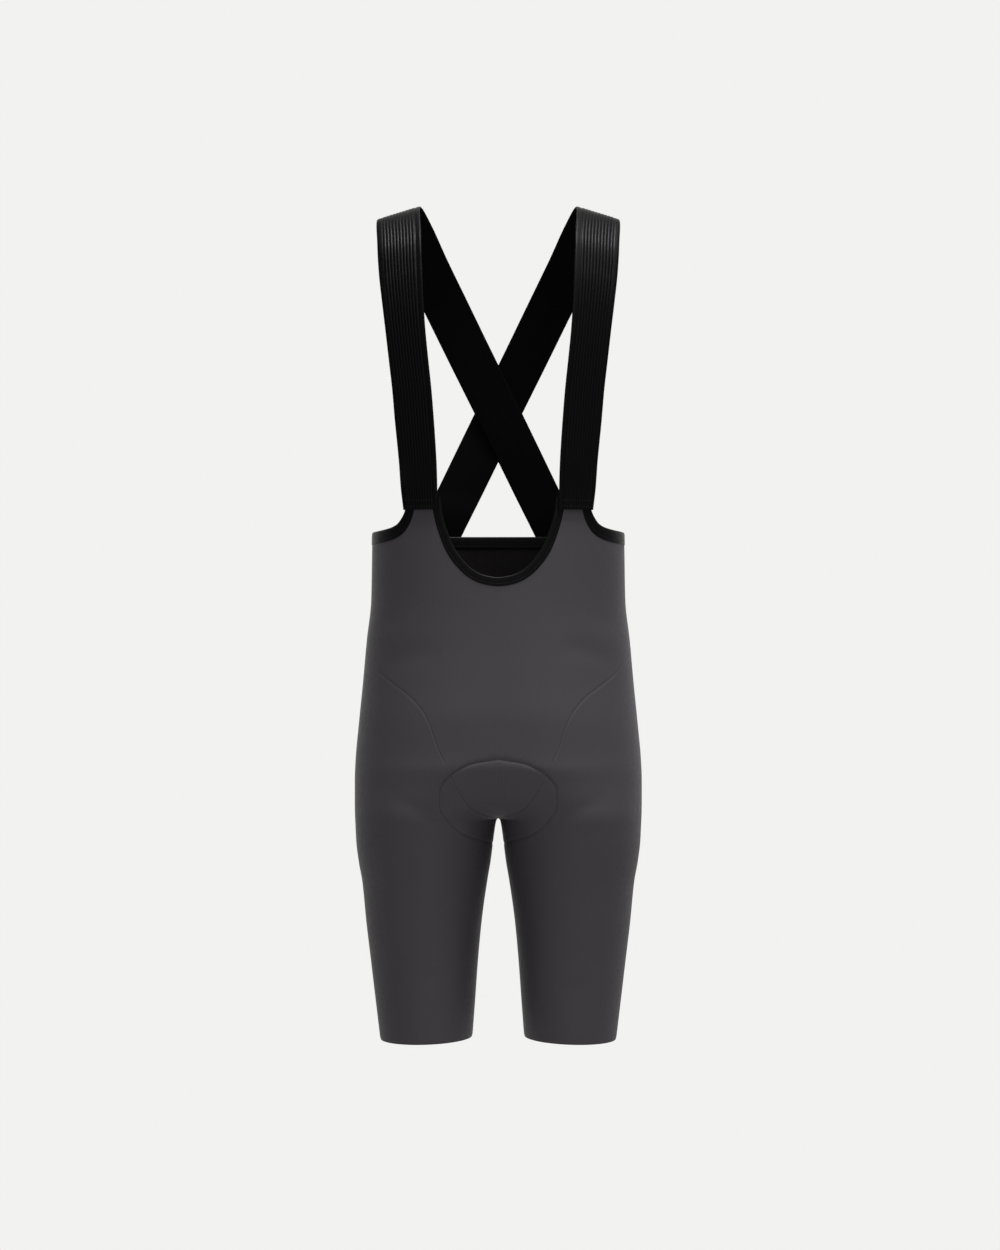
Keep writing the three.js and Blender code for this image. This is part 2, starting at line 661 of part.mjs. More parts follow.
// Strap over the +X shoulder. At the crossing it passes inside or outside the other strap.
function strap(passes) {
  const edgeCurve = (side) => new THREE.CatmullRomCurve3(
    STRAP_EDGES.map((row) => new THREE.Vector3(row[`x${side}`], row[`y${side}`], row[`z${side}`])),
    false,
    "centripetal",
  );
  const [inCurve, outCurve] = [edgeCurve("In"), edgeCurve("Out")];
  const middleAt = (t) => inCurve.getPoint(t).lerp(outCurve.getPoint(t), 0.5);
  const profile = strapProfile();
  const steps = 8 * STRAP_STATIONS;
  const length = [0];
  for (let k = 1; k <= steps; k += 1) {
    length.push(length[k - 1] + middleAt(k / steps).distanceTo(middleAt((k - 1) / steps)));
  }
  const evenly = (share) => {
    const target = share * length[steps];
    const k = Math.max(1, length.findIndex((reached) => reached >= target));
    return (k - 1 + (target - length[k - 1]) / (length[k] - length[k - 1])) / steps;
  };
  const rings = Array.from({ length: STRAP_STATIONS }, (_, station) => {
    const t = Math.min(1, evenly(station / (STRAP_STATIONS - 1)));
    const [edgeIn, edgeOut] = [inCurve.getPoint(t), outCurve.getPoint(t)];
    const ahead = middleAt(Math.min(1, t + 1 / steps)).sub(middleAt(Math.max(0, t - 1 / steps)));
    const flatNormal = edgeOut.clone().sub(edgeIn).cross(ahead).normalize();
    return profile.map(([share, out]) => {
      const flat = edgeIn.clone().lerp(edgeOut, share);
      const fromCrossing = (flat.z - STRAP_CROSSING.middle) / STRAP_CROSSING.reach;
      if (flat.y > 0 && Math.abs(fromCrossing) < 1) {
        flat.y += (passes * STRAP_CROSSING.lift * (1 + Math.cos(Math.PI * fromCrossing))) / 2;
      }
      const onBack = flat.y > 0;
      const body = bodyPoint(Math.sign(flat.x) * turnAtX(Math.abs(flat.x), flat.z, onBack), flat.z);
      const seat = body.clone().addScaledVector(outward(body), STRAP_SEAT);
      const seated = seatedShare(flat);
      const normal = flatNormal.clone().lerp(outward(body), seated).normalize();
      return flat.lerp(seat, seated).addScaledVector(normal, out);
    });
  });
  return loft(rings, profile);
}

// Seat pad

// Points of the cloth's outer face across the pad, in the plane through the pad's axis at an angle
function padLine(angle, halfWidth) {
  const down = THREE.MathUtils.degToRad(angle);
  const ray = new THREE.Vector3(0, -Math.cos(down), -Math.sin(down));
  const axis = new THREE.Vector3(0, 0, PAD_AXIS_HEIGHT);
  let [near, far] = [0, PAD_AXIS_REACH];
  for (let i = 0; i < FINE_STEPS; i += 1) {
    const middle = (near + far) / 2;
    if (surfaceValue(axis.clone().addScaledVector(ray, middle)) < 0) near = middle;
    else far = middle;
  }
  const stepsPerCell = 40;
  const steps = (stepsPerCell * PAD_CELLS) / 2;
  const step = halfWidth / steps;
  let point = axis.clone().addScaledVector(ray, near);
  const line = [point];
  for (let k = 1; k <= steps; k += 1) {
    const gradient = surfaceGradient(point);
    const [gx, gr] = [gradient.x, gradient.dot(ray)];
    const size = Math.hypot(gx, gr);
    const next = point.clone();
    next.x += (step * gr) / size;
    next.addScaledVector(ray, (-step * gx) / size);
    const slope = surfaceGradient(next);
    const [sx, sr] = [slope.x, slope.dot(ray)];
    const error = surfaceValue(next) / (sx * sx + sr * sr);
    next.x -= error * sx;
    next.addScaledVector(ray, -error * sr);
    point = next;
    if (k % stepsPerCell === 0) line.push(point);
  }
  return line;
}

function seatPad() {
  const half = PAD_CELLS / 2;
  const cloth = PAD_LINES.map(({ angle, halfWidth }) => {
    const line = padLine(angle, halfWidth);
    const other = line.slice(1).map((p) => new THREE.Vector3(-p.x, p.y, p.z));
    return [...other.reverse(), ...line];
  });
  const below = cloth.map((line, r) => line.map((p) => (
    p.clone().addScaledVector(outward(p), -CLOTH_THICK - PAD_LINES[r].clear)
  )));
  const last = PAD_LINES.length - 1;
  const thickAt = (r, c) => {
    const fromMiddle = Math.abs(c - half) / half;
    const fromEnd = Math.min(r, last - r) / PAD_TAPER_LINES;
    const full = (1 - fromMiddle ** 4) * Math.min(1, fromEnd);
    return THREE.MathUtils.lerp(PAD_EDGE_THICK, PAD_THICK, full);
  };
  return wall(below, (p, r, c) => p.clone().addScaledVector(outward(cloth[r][c]), -thickAt(r, c)));
}

const bibShorts = new THREE.Group();
const leg = legPanel();
bibShorts.add(
  piece("front_panel", frontPanel(), MATERIALS.cloth),
  piece("back_panel", backPanel(), MATERIALS.cloth),
  piece("leg_left", leg, MATERIALS.cloth),
  piece("leg_right", mirrored(leg), MATERIALS.cloth),
  piece("seat_pad", seatPad(), MATERIALS.pad),
  piece("neck_binding", neckBinding(), MATERIALS.binding),
  piece("body_binding", bodyBinding(), MATERIALS.binding),
  piece("strap_left", strap(1), MATERIALS.strap),
  piece("strap_right", mirrored(strap(-1)), MATERIALS.strap),
);

export default bibShorts;
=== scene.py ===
# Cycling bib shorts, hollow and filled out as worn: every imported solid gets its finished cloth, elastic
# or padding here. Sizes are in millimetres until a mesh is made. +X is the wearer's left, -Y the front.

import math

import bpy
import numpy as np
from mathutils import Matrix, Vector


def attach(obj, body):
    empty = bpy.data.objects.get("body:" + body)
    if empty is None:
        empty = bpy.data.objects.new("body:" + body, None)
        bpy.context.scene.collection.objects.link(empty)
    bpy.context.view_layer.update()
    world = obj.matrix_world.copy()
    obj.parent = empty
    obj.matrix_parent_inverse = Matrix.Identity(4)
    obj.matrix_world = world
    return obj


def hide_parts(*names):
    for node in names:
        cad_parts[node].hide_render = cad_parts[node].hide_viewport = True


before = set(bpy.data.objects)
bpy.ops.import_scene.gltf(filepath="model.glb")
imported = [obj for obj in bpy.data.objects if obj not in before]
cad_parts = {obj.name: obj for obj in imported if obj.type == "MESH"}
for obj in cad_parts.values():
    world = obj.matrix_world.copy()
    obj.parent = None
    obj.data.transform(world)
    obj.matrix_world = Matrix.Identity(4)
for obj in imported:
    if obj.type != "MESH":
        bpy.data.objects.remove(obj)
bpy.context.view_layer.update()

MM = 0.001
MIRROR = np.array([-1, 1, 1])
FAR = 1e3

# The body that fills the garment: level sections, as in the part's own table
SECTION_COLUMNS = ("z", "outer", "inner", "front", "back", "soft", "lean")
SECTIONS = (
    (-296, 131.0, -131.0, 96, 84, 0, 1),
    (-345, 132.3, -132.3, 97, 85, 0, 1),
    (-405, 133.4, -133.4, 98, 86, 0, 1),
    (-447, 138.0, -130.0, 99, 90, 4, 1),
    (-489, 141.8, -118.8, 101, 99, 12, 1),
    (-531, 146.0, -98.0, 103, 110, 24, 1),
    (-573, 149.8, -72.0, 103, 116, 40, 1),
    (-594, 150.6, -42.0, 98.5, 115, 40, 1),
    (-614, 150.6, -12.0, 93.5, 111, 31, 1),
    (-624, 150.5, -2.0, 91.5, 108, 18.5, 1),
    (-629, 150.4, 1.0, 90.6, 106.5, 11, 1),
    (-633.7, 150.2, 3.0, 89.7, 105, 3, 1),
    (-645, 149.7, 4.5, 87.5, 102, 2.6, 1.07),
    (-657, 149.1, 5.8, 85.5, 98.5, 2.4, 1.13),
    (-679, 146.4, 8.4, 81.5, 92, 2.4, 1.15),
    (-699, 142.8, 11.7, 78, 86.5, 2.4, 1.11),
    (-741, 138.6, 17.5, 71.5, 78, 2.4, 1.04),
    (-783, 133.6, 21.4, 66, 71, 2.4, 1),
    (-825, 128.6, 24.4, 61.5, 65, 2.4, 1),
    (-865, 123.8, 27.4, 58, 60, 2.4, 1),
)
CROTCH_HEIGHT = -633.7
HEM_HEIGHT = -865
HEM_RISE = 3
SIDE_SEAM_BEHIND = 10

# Edges and seams from the middle outwards: distance from the middle, height
HORN_TOP = -301
NECK_EDGE = (
    (0, -390.4),
    (10, -389.3),
    (21, -386.2),
    (32, -379.7),
    (43, -368.7),
    (52, -355.5),
    (58, -341.3),
    (62.7, -326.8),
    (65.6, -313),
    (66.8, HORN_TOP),
)
ARMHOLE_EDGE = (
    (86.6, HORN_TOP),
    (87.4, -312.6),
    (88.7, -319),
    (91.6, -326.3),
    (96.2, -333.5),
    (101.1, -338),
    (107.5, -341.4),
    (115.2, -343.6),
    (125, -345.3),
)
ARMHOLE_AT_SIDE = -346.5
BACK_EDGE_HEIGHT = -348
BACK_EDGE_TURN = 120
FRONT_SEAM = (
    (0, -631),
    (7, -629.6),
    (21, -623.4),
    (30, -615.4),
    (39, -602.2),
    (46, -589.3),
    (51.5, -580.2),
    (55.3, -569.5),
    (60.6, -558.7),
    (66, -543.8),
    (71, -529.7),
    (79, -516.3),
    (90, -504.5),
    (102, -495.5),
    (113, -487.5),
    (122.5, -479.5),
    (130.5, -468.7),
)
SEAMS_AT_SIDE = -447
BACK_SEAM = ((105, -466), (60, -490), (20, -506), (0, -509))

# Cloth
CLOTH_THICK = 1.2
MERGE_WITHIN = 0.002
SEAM_OPEN = 0.04
SEAM_DEPTH = 0.26
SEAM_REACH = 1.1
SEAM_ALLOWANCE_RISE = 0.1
SEAM_ALLOWANCE_REACH = 5.5
SEAM_ALLOWANCE_SOFT = {"from": 0.8, "full": 2.2, "fades": 1.6}
HEM_TURN = 0.5
HEM_TURN_REACH = 1.2

# How finely the cloth is divided. A column of the solid's own division is split into FINER ones.
FINER = 6
NECK_CELLS = 8 * FINER
HORN_CELLS = 2 * FINER
ARMHOLE_CELLS = 7 * FINER
BACK_CELLS = 13 * FINER
BODY_ROWS = 92
LEG_TOP_ROWS = 66
LEG_ROWS = 84
LEG_ROWS_WIDEN = 1.15
LEG_SIDE_COLUMN_TURN = 96
NARROW_CELLS = (0.0, 0.6, 1.4, 2.6)
FINE_STEPS = 60
MM_PER_TURN = 2.2
SAME_PLACE = 1e-4


# Tables and curves


def smooth_column(rows, column):
    """A column of a table against the first one, as a curve that never overshoots its rows."""
    ordered = sorted(rows, key=lambda row: row[0])
    at = np.array([row[0] for row in ordered], float)
    value = np.array([row[column] for row in ordered], float)
    step = np.diff(at)
    slope = np.diff(value) / step
    tangent = np.zeros(len(at))
    tangent[0] = slope[0]
    tangent[-1] = slope[-1]
    for i in range(1, len(at) - 1):
        if slope[i - 1] * slope[i] > 0:
            before = 2 * step[i] + step[i - 1]
            after = step[i] + 2 * step[i - 1]
            tangent[i] = (before + after) / (before / slope[i - 1] + after / slope[i])

    def curve(x):
        x = np.clip(x, at[0], at[-1])
        i = np.clip(np.searchsorted(at, x) - 1, 0, len(at) - 2)
        t = (x - at[i]) / step[i]
        eased = value[i] + (value[i + 1] - value[i]) * t * t * (3 - 2 * t)
        return eased + t * (1 - t) * step[i] * ((1 - t) * tangent[i] - t * tangent[i + 1])

    return curve


def smoothstep(x, low, high):
    t = np.clip((x - low) / (high - low), 0, 1)
    return t * t * (3 - 2 * t)


def curve_points(knots, shares):
    """Points of the centripetal curve through the knots, at shares of its whole run from 0 to 1."""
    knots = np.asarray(knots, float)
    last = len(knots) - 1
    padded = np.vstack([2 * knots[0] - knots[1], knots, 2 * knots[-1] - knots[-2]])
    place = np.clip(np.asarray(shares, float), 0, 1) * last
    i = np.minimum(place.astype(int), last - 1)
    t = (place - i)[:, None]
    p0, p1, p2, p3 = (padded[i + k] for k in range(4))
    pairs = ((p0, p1), (p1, p2), (p2, p3))
    gap = [np.maximum(np.linalg.norm(b - a, axis=1), 1e-8)[:, None] ** 0.5 for a, b in pairs]
    leave = ((p1 - p0) / gap[0] - (p2 - p0) / (gap[0] + gap[1]) + (p2 - p1) / gap[1]) * gap[1]
    arrive = ((p2 - p1) / gap[1] - (p3 - p1) / (gap[1] + gap[2]) + (p3 - p2) / gap[2]) * gap[1]
    cubic = 2 * (p1 - p2) + leave + arrive
    square = 3 * (p2 - p1) - 2 * leave - arrive
    return p1 + t * (leave + t * (square + t * cubic))


def run_length(points):
    """Length from the first point to each one, along their last axis but one."""
    gaps = np.linalg.norm(np.diff(points, axis=-2), axis=-1)
    start = np.zeros(gaps.shape[:-1] + (1,))
    return np.concatenate([start, np.cumsum(gaps, axis=-1)], axis=-1)


# The body's surface

section_column = {name: smooth_column(SECTIONS, i) for i, name in enumerate(SECTION_COLUMNS) if i}


def section_at(z):
    """Middle, half width, rounding, first angle, depths and lean of the body's half section at a height."""
    column = {name: curve(z) for name, curve in section_column.items()}
    reach = np.hypot(column["outer"], column["soft"])
    middle = (reach + column["inner"]) / 2
    half = (reach - column["inner"]) / 2
    start = np.arcsin(np.clip((column["soft"] - middle) / half, -1, 1))
    return middle, half, column["soft"], start, column["front"], column["back"], column["lean"]


def half_point(turn, z):
    """Points of the +X half: turn is 0 at the front middle, 90 at the side and 180 at the back middle."""
    turn, z = np.broadcast_arrays(np.asarray(turn, float), np.asarray(z, float))
    middle, half, soft, start, front, back, lean = section_at(z)
    angle = start + (math.pi - 2 * start) * turn / 180
    along = middle + half * np.sin(angle)
    x = np.sqrt(np.maximum(0, along**2 - soft**2))
    through = np.abs(np.cos(angle)) ** np.where(np.sin(angle) < 0, lean, 1)
    y = np.where(np.cos(angle) > 0, -through * front, through * back)
    return np.stack([x, y, z], axis=-1)


def body_point(turn, z):
    """Points of the whole body above the crotch, where turn runs on past the back middle."""
    wrapped = (np.asarray(turn, float) + 180) % 360 - 180
    point = half_point(np.abs(wrapped), z)
    point[..., 0] *= np.where(wrapped < 0, -1, 1)
    return point


def turn_at_x(x, z, on_back=False):
    middle, half, soft, start = section_at(z)[:4]
    angle = np.arcsin(np.minimum(1, (np.hypot(x, soft) - middle) / half))
    turn = 180 * (angle - start) / (math.pi - 2 * start)
    return np.where(on_back, 180 - turn, turn)


def turn_at_side(z):
    start, back = section_at(z)[3], section_at(z)[5]
    angle = math.pi / 2 + np.arcsin(SIDE_SEAM_BEHIND / back)
    return 180 * (angle - start) / (math.pi - 2 * start)


def surface_value(p):
    """Below 0 inside the body, above 0 outside it."""
    middle, half, soft, _, front, back, lean = section_at(p[..., 2])
    across = (np.hypot(p[..., 0], soft) - middle) / half
    through = np.abs(p[..., 1]) / np.where(p[..., 1] < 0, front, back)
    return across**2 + through ** np.where(across < 0, 2 / lean, 2) - 1


def surface_gradient(p):
    step = 0.02
    gradient = np.empty_like(p)
    for axis in range(3):
        shift = np.zeros(3)
        shift[axis] = step
        gradient[..., axis] = (surface_value(p + shift) - surface_value(p - shift)) / (2 * step)
    return gradient


def unit(vectors):
    return vectors / np.maximum(np.linalg.norm(vectors, axis=-1, keepdims=True), 1e-12)


def outward(p):
    return unit(surface_gradient(p))


def onto_surface(p):
    for _ in range(6):
        gradient = surface_gradient(p)
        squared = np.sum(gradient**2, axis=-1, keepdims=True)
        p = p - gradient * surface_value(p)[..., None] / squared
    return p


# Lines and grids on the body. A place is a pair (turn, height).


def places_from(rows, on_back=False):
    rows = np.array(rows, float)
    return np.stack([turn_at_x(rows[:, 0], rows[:, 1], on_back), rows[:, 1]], axis=-1)


def mirrored_at_front(places):
    return places * np.array([-1, 1])


def mirrored_at_back(places):
    return np.array([360, 0]) + places * np.array([-1, 1])


def across_front(half):
    return np.vstack([mirrored_at_front(half[:0:-1]), half])


def across_back(half):
    return np.vstack([half, mirrored_at_back(half[-2::-1])])


def stations(length, cells, narrow_start=False, narrow_end=False):
    """Distances along a length: even cells, with a few narrow ones at the ends that are named."""
    narrow = np.array(NARROW_CELLS) * min(1, length / (8 * NARROW_CELLS[-1]))
    first = narrow[-1] if narrow_start else 0
    last = length - narrow[-1] if narrow_end else length
    distances = np.linspace(first, last, cells + 1)
    if narrow_start:
        distances = np.concatenate([narrow[:-1], distances])
    if narrow_end:
        distances = np.concatenate([distances, length - narrow[-2::-1]])
    return distances


def spaced(places, cells, narrow_start=False, narrow_end=False, point_at=body_point):
    """Places along a chain of places, by their distance on the body."""
    length = run_length(point_at(places[:, 0], places[:, 1]))
    at = stations(length[-1], cells, narrow_start, narrow_end)
    found = np.stack([np.interp(at, length, places[:, i]) for i in range(2)], axis=-1)
    found[0] = places[0]
    found[-1] = places[-1]
    return found


def straight(start, end):
    share = np.linspace(0, 1, FINE_STEPS + 1)[:, None]
    return np.asarray(start, float) * (1 - share) + np.asarray(end, float) * share


def smooth_line(places, steps):
    """Fine places along the smooth curve through some places, with turns and heights on one scale."""
    scale = np.array([MM_PER_TURN, 1])
    return curve_points(places * scale, np.linspace(0, 1, steps + 1)) / scale


def front_half(rows, cells, **narrow):
    """Smooth line over the front middle: its +X half."""
    whole = smooth_line(across_front(rows), 2 * len(rows) * FINE_STEPS)
    return spaced(whole[len(whole) // 2 :], cells, **narrow)


def back_half(rows, cells):
    """Smooth line over the back middle: its +X half, with narrow cells at the side and the middle."""
    whole = smooth_line(across_back(rows), 2 * len(rows) * FINE_STEPS)
    return spaced(whole[: len(whole) // 2 + 1], cells, narrow_start=True, narrow_end=True)


def grid_between(top, bottom, cells, narrow_start=True, narrow_end=True, point_at=body_point):
    """Places of a grid of cloth, one column from each place of the top line to its partner below."""
    columns = [
        spaced(straight(above, below), cells, narrow_start, narrow_end, point_at)
        for above, below in zip(top, bottom)
    ]
    return np.stack(columns, axis=1)


neck_rows = places_from(NECK_EDGE)
side_top = np.array([turn_at_side(ARMHOLE_AT_SIDE), ARMHOLE_AT_SIDE])
side_low = np.array([turn_at_side(SEAMS_AT_SIDE), SEAMS_AT_SIDE])
armhole_rows = np.vstack([places_from(ARMHOLE_EDGE), side_top])
front_seam_rows = np.vstack([places_from(FRONT_SEAM), side_low])
back_seam_rows = np.vstack([side_low, places_from(BACK_SEAM, on_back=True)])
back_edge_rows = np.array([side_top, (BACK_EDGE_TURN, BACK_EDGE_HEIGHT), (180, BACK_EDGE_HEIGHT)])

neck_edge = front_half(neck_rows, NECK_CELLS)
horn_edge = spaced(straight(neck_rows[-1], armhole_rows[0]), HORN_CELLS)
armhole_edge = spaced(
    smooth_line(armhole_rows, len(armhole_rows) * FINE_STEPS), ARMHOLE_CELLS, narrow_end=True)
front_top = np.vstack([neck_edge, horn_edge[1:], armhole_edge[1:]])
front_seam = front_half(front_seam_rows, NECK_CELLS + HORN_CELLS + ARMHOLE_CELLS, narrow_end=True)
back_seam = back_half(back_seam_rows, BACK_CELLS)
back_edge = back_half(back_edge_rows, BACK_CELLS)


# The cloth's own surface: all four panels as one net, which is then seamed and creased


def front_places():
    return grid_between(across_front(front_top), across_front(front_seam), BODY_ROWS)


def back_places():
    return grid_between(across_back(back_edge), across_back(back_seam), BODY_ROWS)


def crotch_ring():
    """Places round the top of a leg tube, from its inside over the front, the side and the back."""
    turns = front_seam[:, 0] * LEG_SIDE_COLUMN_TURN / front_seam[-1, 0]
    front = np.stack([turns, np.full(len(turns), CROTCH_HEIGHT)], axis=-1)
    corners = [(turn, CROTCH_HEIGHT) for turn in (LEG_SIDE_COLUMN_TURN, 180)]
    back = spaced(straight(*corners), BACK_CELLS, True, True, half_point)
    return np.vstack([front, back[1:]])


def hem_height(turn):
    outer, inner = SECTIONS[-1][1:3]
    return HEM_HEIGHT + HEM_RISE * (outer - half_point(turn, HEM_HEIGHT)[..., 0]) / (outer - inner)


def leg_places():
    """Places of the +X leg panel, and the row at which its two edges meet round the leg."""
    top = np.vstack([front_seam, back_seam[1:]])
    ring = crotch_ring()
    upper = grid_between(top, ring, LEG_TOP_ROWS, narrow_end=False, point_at=half_point)
    down = stations(1, LEG_ROWS)[1:, None] ** LEG_ROWS_WIDEN
    height = CROTCH_HEIGHT + (hem_height(ring[:, 0]) - CROTCH_HEIGHT) * down
    tube = np.stack([np.broadcast_to(ring[:, 0], height.shape), height], axis=-1)
    return np.concatenate([upper, tube]), len(upper) - 1


def quads_of(rows, columns, first):
    number = first + np.arange(rows * columns).reshape(rows, columns)
    corners = [number[:-1, :-1], number[1:, :-1], number[1:, 1:], number[:-1, 1:]]
    return np.stack([corner.ravel() for corner in corners], axis=-1)


class Net:
    """The panels' points as one surface, where points at the same place are one."""

    def __init__(self, grids):
        self.grids = grids
        points = np.concatenate([grid.reshape(-1, 3) for grid in grids.values()])
        key = np.round(points / SAME_PLACE).astype(np.int64)
        _, first, inverse = np.unique(key, axis=0, return_index=True, return_inverse=True)
        self.number = inverse.ravel()
        self.points = points[first]
        quads = [quads_of(*grid.shape[:2], self.start_of(name)) for name, grid in grids.items()]
        self.quads = self.number[np.concatenate(quads)]

    def start_of(self, name):
        before = list(self.grids).index(name)
        return sum(grid[..., 0].size for grid in list(self.grids.values())[:before])

    def number_of(self, name):
        """Which of the surface's points each point of a panel is."""
        start = self.start_of(name)
        return self.number[start : start + self.grids[name][..., 0].size]

    def grid(self, name):
        return self.points[self.number_of(name)].reshape(self.grids[name].shape)

    def normals(self):
        a, b, c, d = (self.points[self.quads[:, i]] for i in range(4))
        face = np.cross(c - a, d - b)
        total = np.zeros_like(self.points)
        for i in range(4):
            np.add.at(total, self.quads[:, i], face)
        normals = unit(total)
        out = outward(self.points)
        flip = np.where(np.sum(normals * out, axis=-1) < 0, -1, 1)[:, None]
        return normals * flip


# Relief: what stands up from the body's form or sinks into it, in millimetres along the normals


def line_segments_near(points, line):
    """Distance of each point from a line of points, and the share along the line of the nearest place."""
    best = np.full(len(points), np.inf)
    share = np.zeros(len(points))
    reached = run_length(line)
    points = np.ascontiguousarray(points)
    for k in range(len(line) - 1):
        start, step = line[k], line[k + 1] - line[k]
        t = np.clip((points - start) @ step / max(step @ step, 1e-12), 0, 1)
        distance = np.linalg.norm(points - start - t[:, None] * step, axis=1)
        nearer = distance < best
        best[nearer] = distance[nearer]
        share[nearer] = ((reached[k] + t * (reached[k + 1] - reached[k])) / reached[-1])[nearer]
    return best, share


def line_on_body(rows, on_back, side):
    """Smooth line over the body through rows (distance from the middle, height), on one side of it."""
    smooth = curve_points(np.array(rows, float), np.linspace(0, 1, CREASE_POINTS))
    point = half_point(turn_at_x(smooth[:, 0], smooth[:, 1], on_back), smooth[:, 1])
    point[:, 0] *= side
    return point


def trough(points, line, width, depth):
    """Soft trough along a line, which fades out towards both of its ends."""
    low, high = line.min(axis=0) - 3 * width, line.max(axis=0) + 3 * width
    near = np.flatnonzero(np.all((points > low) & (points < high), axis=1))
    relief = np.zeros(len(points))
    distance, share = line_segments_near(points[near], line)
    relief[near] = -depth * np.exp(-((distance / width) ** 2)) * np.sin(math.pi * share) ** CREASE_FADE
    return relief


# The main creases: the side they are on, the rows they run through, their width and depth
CREASE_COLUMNS = ("on_back", "sides", "rows", "width", "depth")
CREASE_POINTS = 24
CREASE_FADE = 0.7
CREASES = (
    (False, (1, -1), ((26, -664), (48, -641), (78, -622), (112, -604)), 8.0, 0.75),
    (False, (1, -1), ((30, -676), (58, -660), (92, -650)), 9.0, 0.4),
    (False, (1,), ((62, -452), (92, -459), (122, -470)), 11.0, 0.7),
    (False, (-1,), ((58, -458), (88, -463), (120, -472)), 12.0, 0.8),
    (False, (1, -1), ((96, -420), (113, -428), (127, -432)), 9.0, 0.4),
    (False, (1,), ((60, -800), (78, -806), (98, -802)), 9.0, 0.35),
    (False, (-1,), ((52, -786), (72, -794), (94, -792)), 9.0, 0.35),
    (True, (1, -1), ((14, -655), (44, -660), (80, -652), (116, -634)), 9.0, 1.0),
    (True, (1, -1), ((30, -684), (60, -684), (92, -676)), 9.0, 0.5),
    (True, (1,), ((8, -428), (44, -431), (84, -426)), 11.0, 0.6),
    (True, (-1,), ((6, -432), (40, -436), (88, -434)), 11.0, 0.6),
    (True, (1, -1), ((60, -452), (92, -446), (120, -434)), 10.0, 0.6),
    (True, (1,), ((46, -772), (76, -780), (104, -774)), 10.0, 0.55),
    (True, (-1,), ((44, -784), (74, -790), (106, -782)), 10.0, 0.5),
    (True, (1, -1), ((52, -812), (80, -815), (100, -810)), 9.0, 0.35),
)


def crease_relief(points):
    relief = np.zeros(len(points))
    for crease in CREASES:
        row = dict(zip(CREASE_COLUMNS, crease))
        for side in row["sides"]:
            line = line_on_body(row["rows"], row["on_back"], side)
            relief += trough(points, line, row["width"], row["depth"])
    return relief


# The seat pad lies inside the crotch. Its rows go round an axis, where 0 faces forward and 90 down.
PAD_COLUMNS = ("angle", "half_width", "clear")
PAD_LINES = (
    (4, 13, 1.4),
    (8, 32, 1.4),
    (14, 49, 1.4),
    (22, 58, 1.5),
    (31, 59, 2.0),
    (40, 53, 2.7),
    (50, 44, 3.2),
    (61, 34, 3.2),
    (74, 28, 2.4),
    (90, 26, 2.4),
    (104, 30, 3.1),
    (117, 41, 4.0),
    (130, 56, 4.4),
    (143, 69, 3.2),
    (156, 75, 2.2),
    (167, 70, 1.8),
    (174, 55, 1.4),
    (178, 30, 1.4),
)
PAD_AXIS_HEIGHT = -560
PAD_AXIS_REACH = 160
PAD_THICK = 8
PAD_EDGE_THICK = 2.5
PAD_MARCHES = 6
pad_half_width = smooth_column(PAD_LINES, PAD_COLUMNS.index("half_width"))
pad_clear = smooth_column(PAD_LINES, PAD_COLUMNS.index("clear"))


def across_pad(angles, half_widths, cells):
    """Points of the body from the middle of the pad out to its +X edge, a line for each angle."""
    down = np.radians(angles)
    ray = np.stack([np.zeros_like(down), -np.cos(down), -np.sin(down)], axis=-1)
    axis = np.array([0, 0, PAD_AXIS_HEIGHT], float)
    near, far = np.zeros(len(down)), np.full(len(down), float(PAD_AXIS_REACH))
    for _ in range(FINE_STEPS):
        middle = (near + far) / 2
        inside = surface_value(axis + ray * middle[:, None]) < 0
        near, far = np.where(inside, middle, near), np.where(inside, far, middle)
    point = axis + ray * near[:, None]
    lines = [point]
    step = (np.asarray(half_widths) / (cells * PAD_MARCHES))[:, None]
    across = np.array([1.0, 0, 0])
    for _ in range(cells):
        for _ in range(PAD_MARCHES):
            gradient = surface_gradient(point)
            gx, gr = gradient[:, :1], np.sum(gradient * ray, axis=1, keepdims=True)
            point = point + step * (gr * across - gx * ray) / np.hypot(gx, gr)
            slope = surface_gradient(point)
            sx, sr = slope[:, :1], np.sum(slope * ray, axis=1, keepdims=True)
            error = surface_value(point)[:, None] / (sx**2 + sr**2)
            point = point - error * (sx * across + sr * ray)
        lines.append(point)
    return np.stack(lines, axis=1)


# The row of stitches that holds the pad shows outside as a trough, deepest over the front
PAD_SEAM_OUTSIDE = 1.5
PAD_SEAM_WIDTH = 1.3
PAD_SEAM_DEPTH = 1.0
PAD_SEAM_DEPTH_BELOW = 0.6
PAD_SEAM_FINE_WITHIN = 4.2
PAD_SEAM_CUTS = 2
PAD_SEAM_ENDS = (3.9, 178.5)
PAD_SEAM_ROUNDING = 2.8
PAD_SEAM_STEP = 2.5
PAD_SEAM_DEEP = {"from": -612, "full": -584}
PAD_OUTLINE_LINES = 70
PAD_OUTLINE_CELLS = 10
PAD_OUTLINE_FINE = 1400
PAD_OUTLINE_STRIDE = 4
PAD_OUTLINE_NEAR = 16


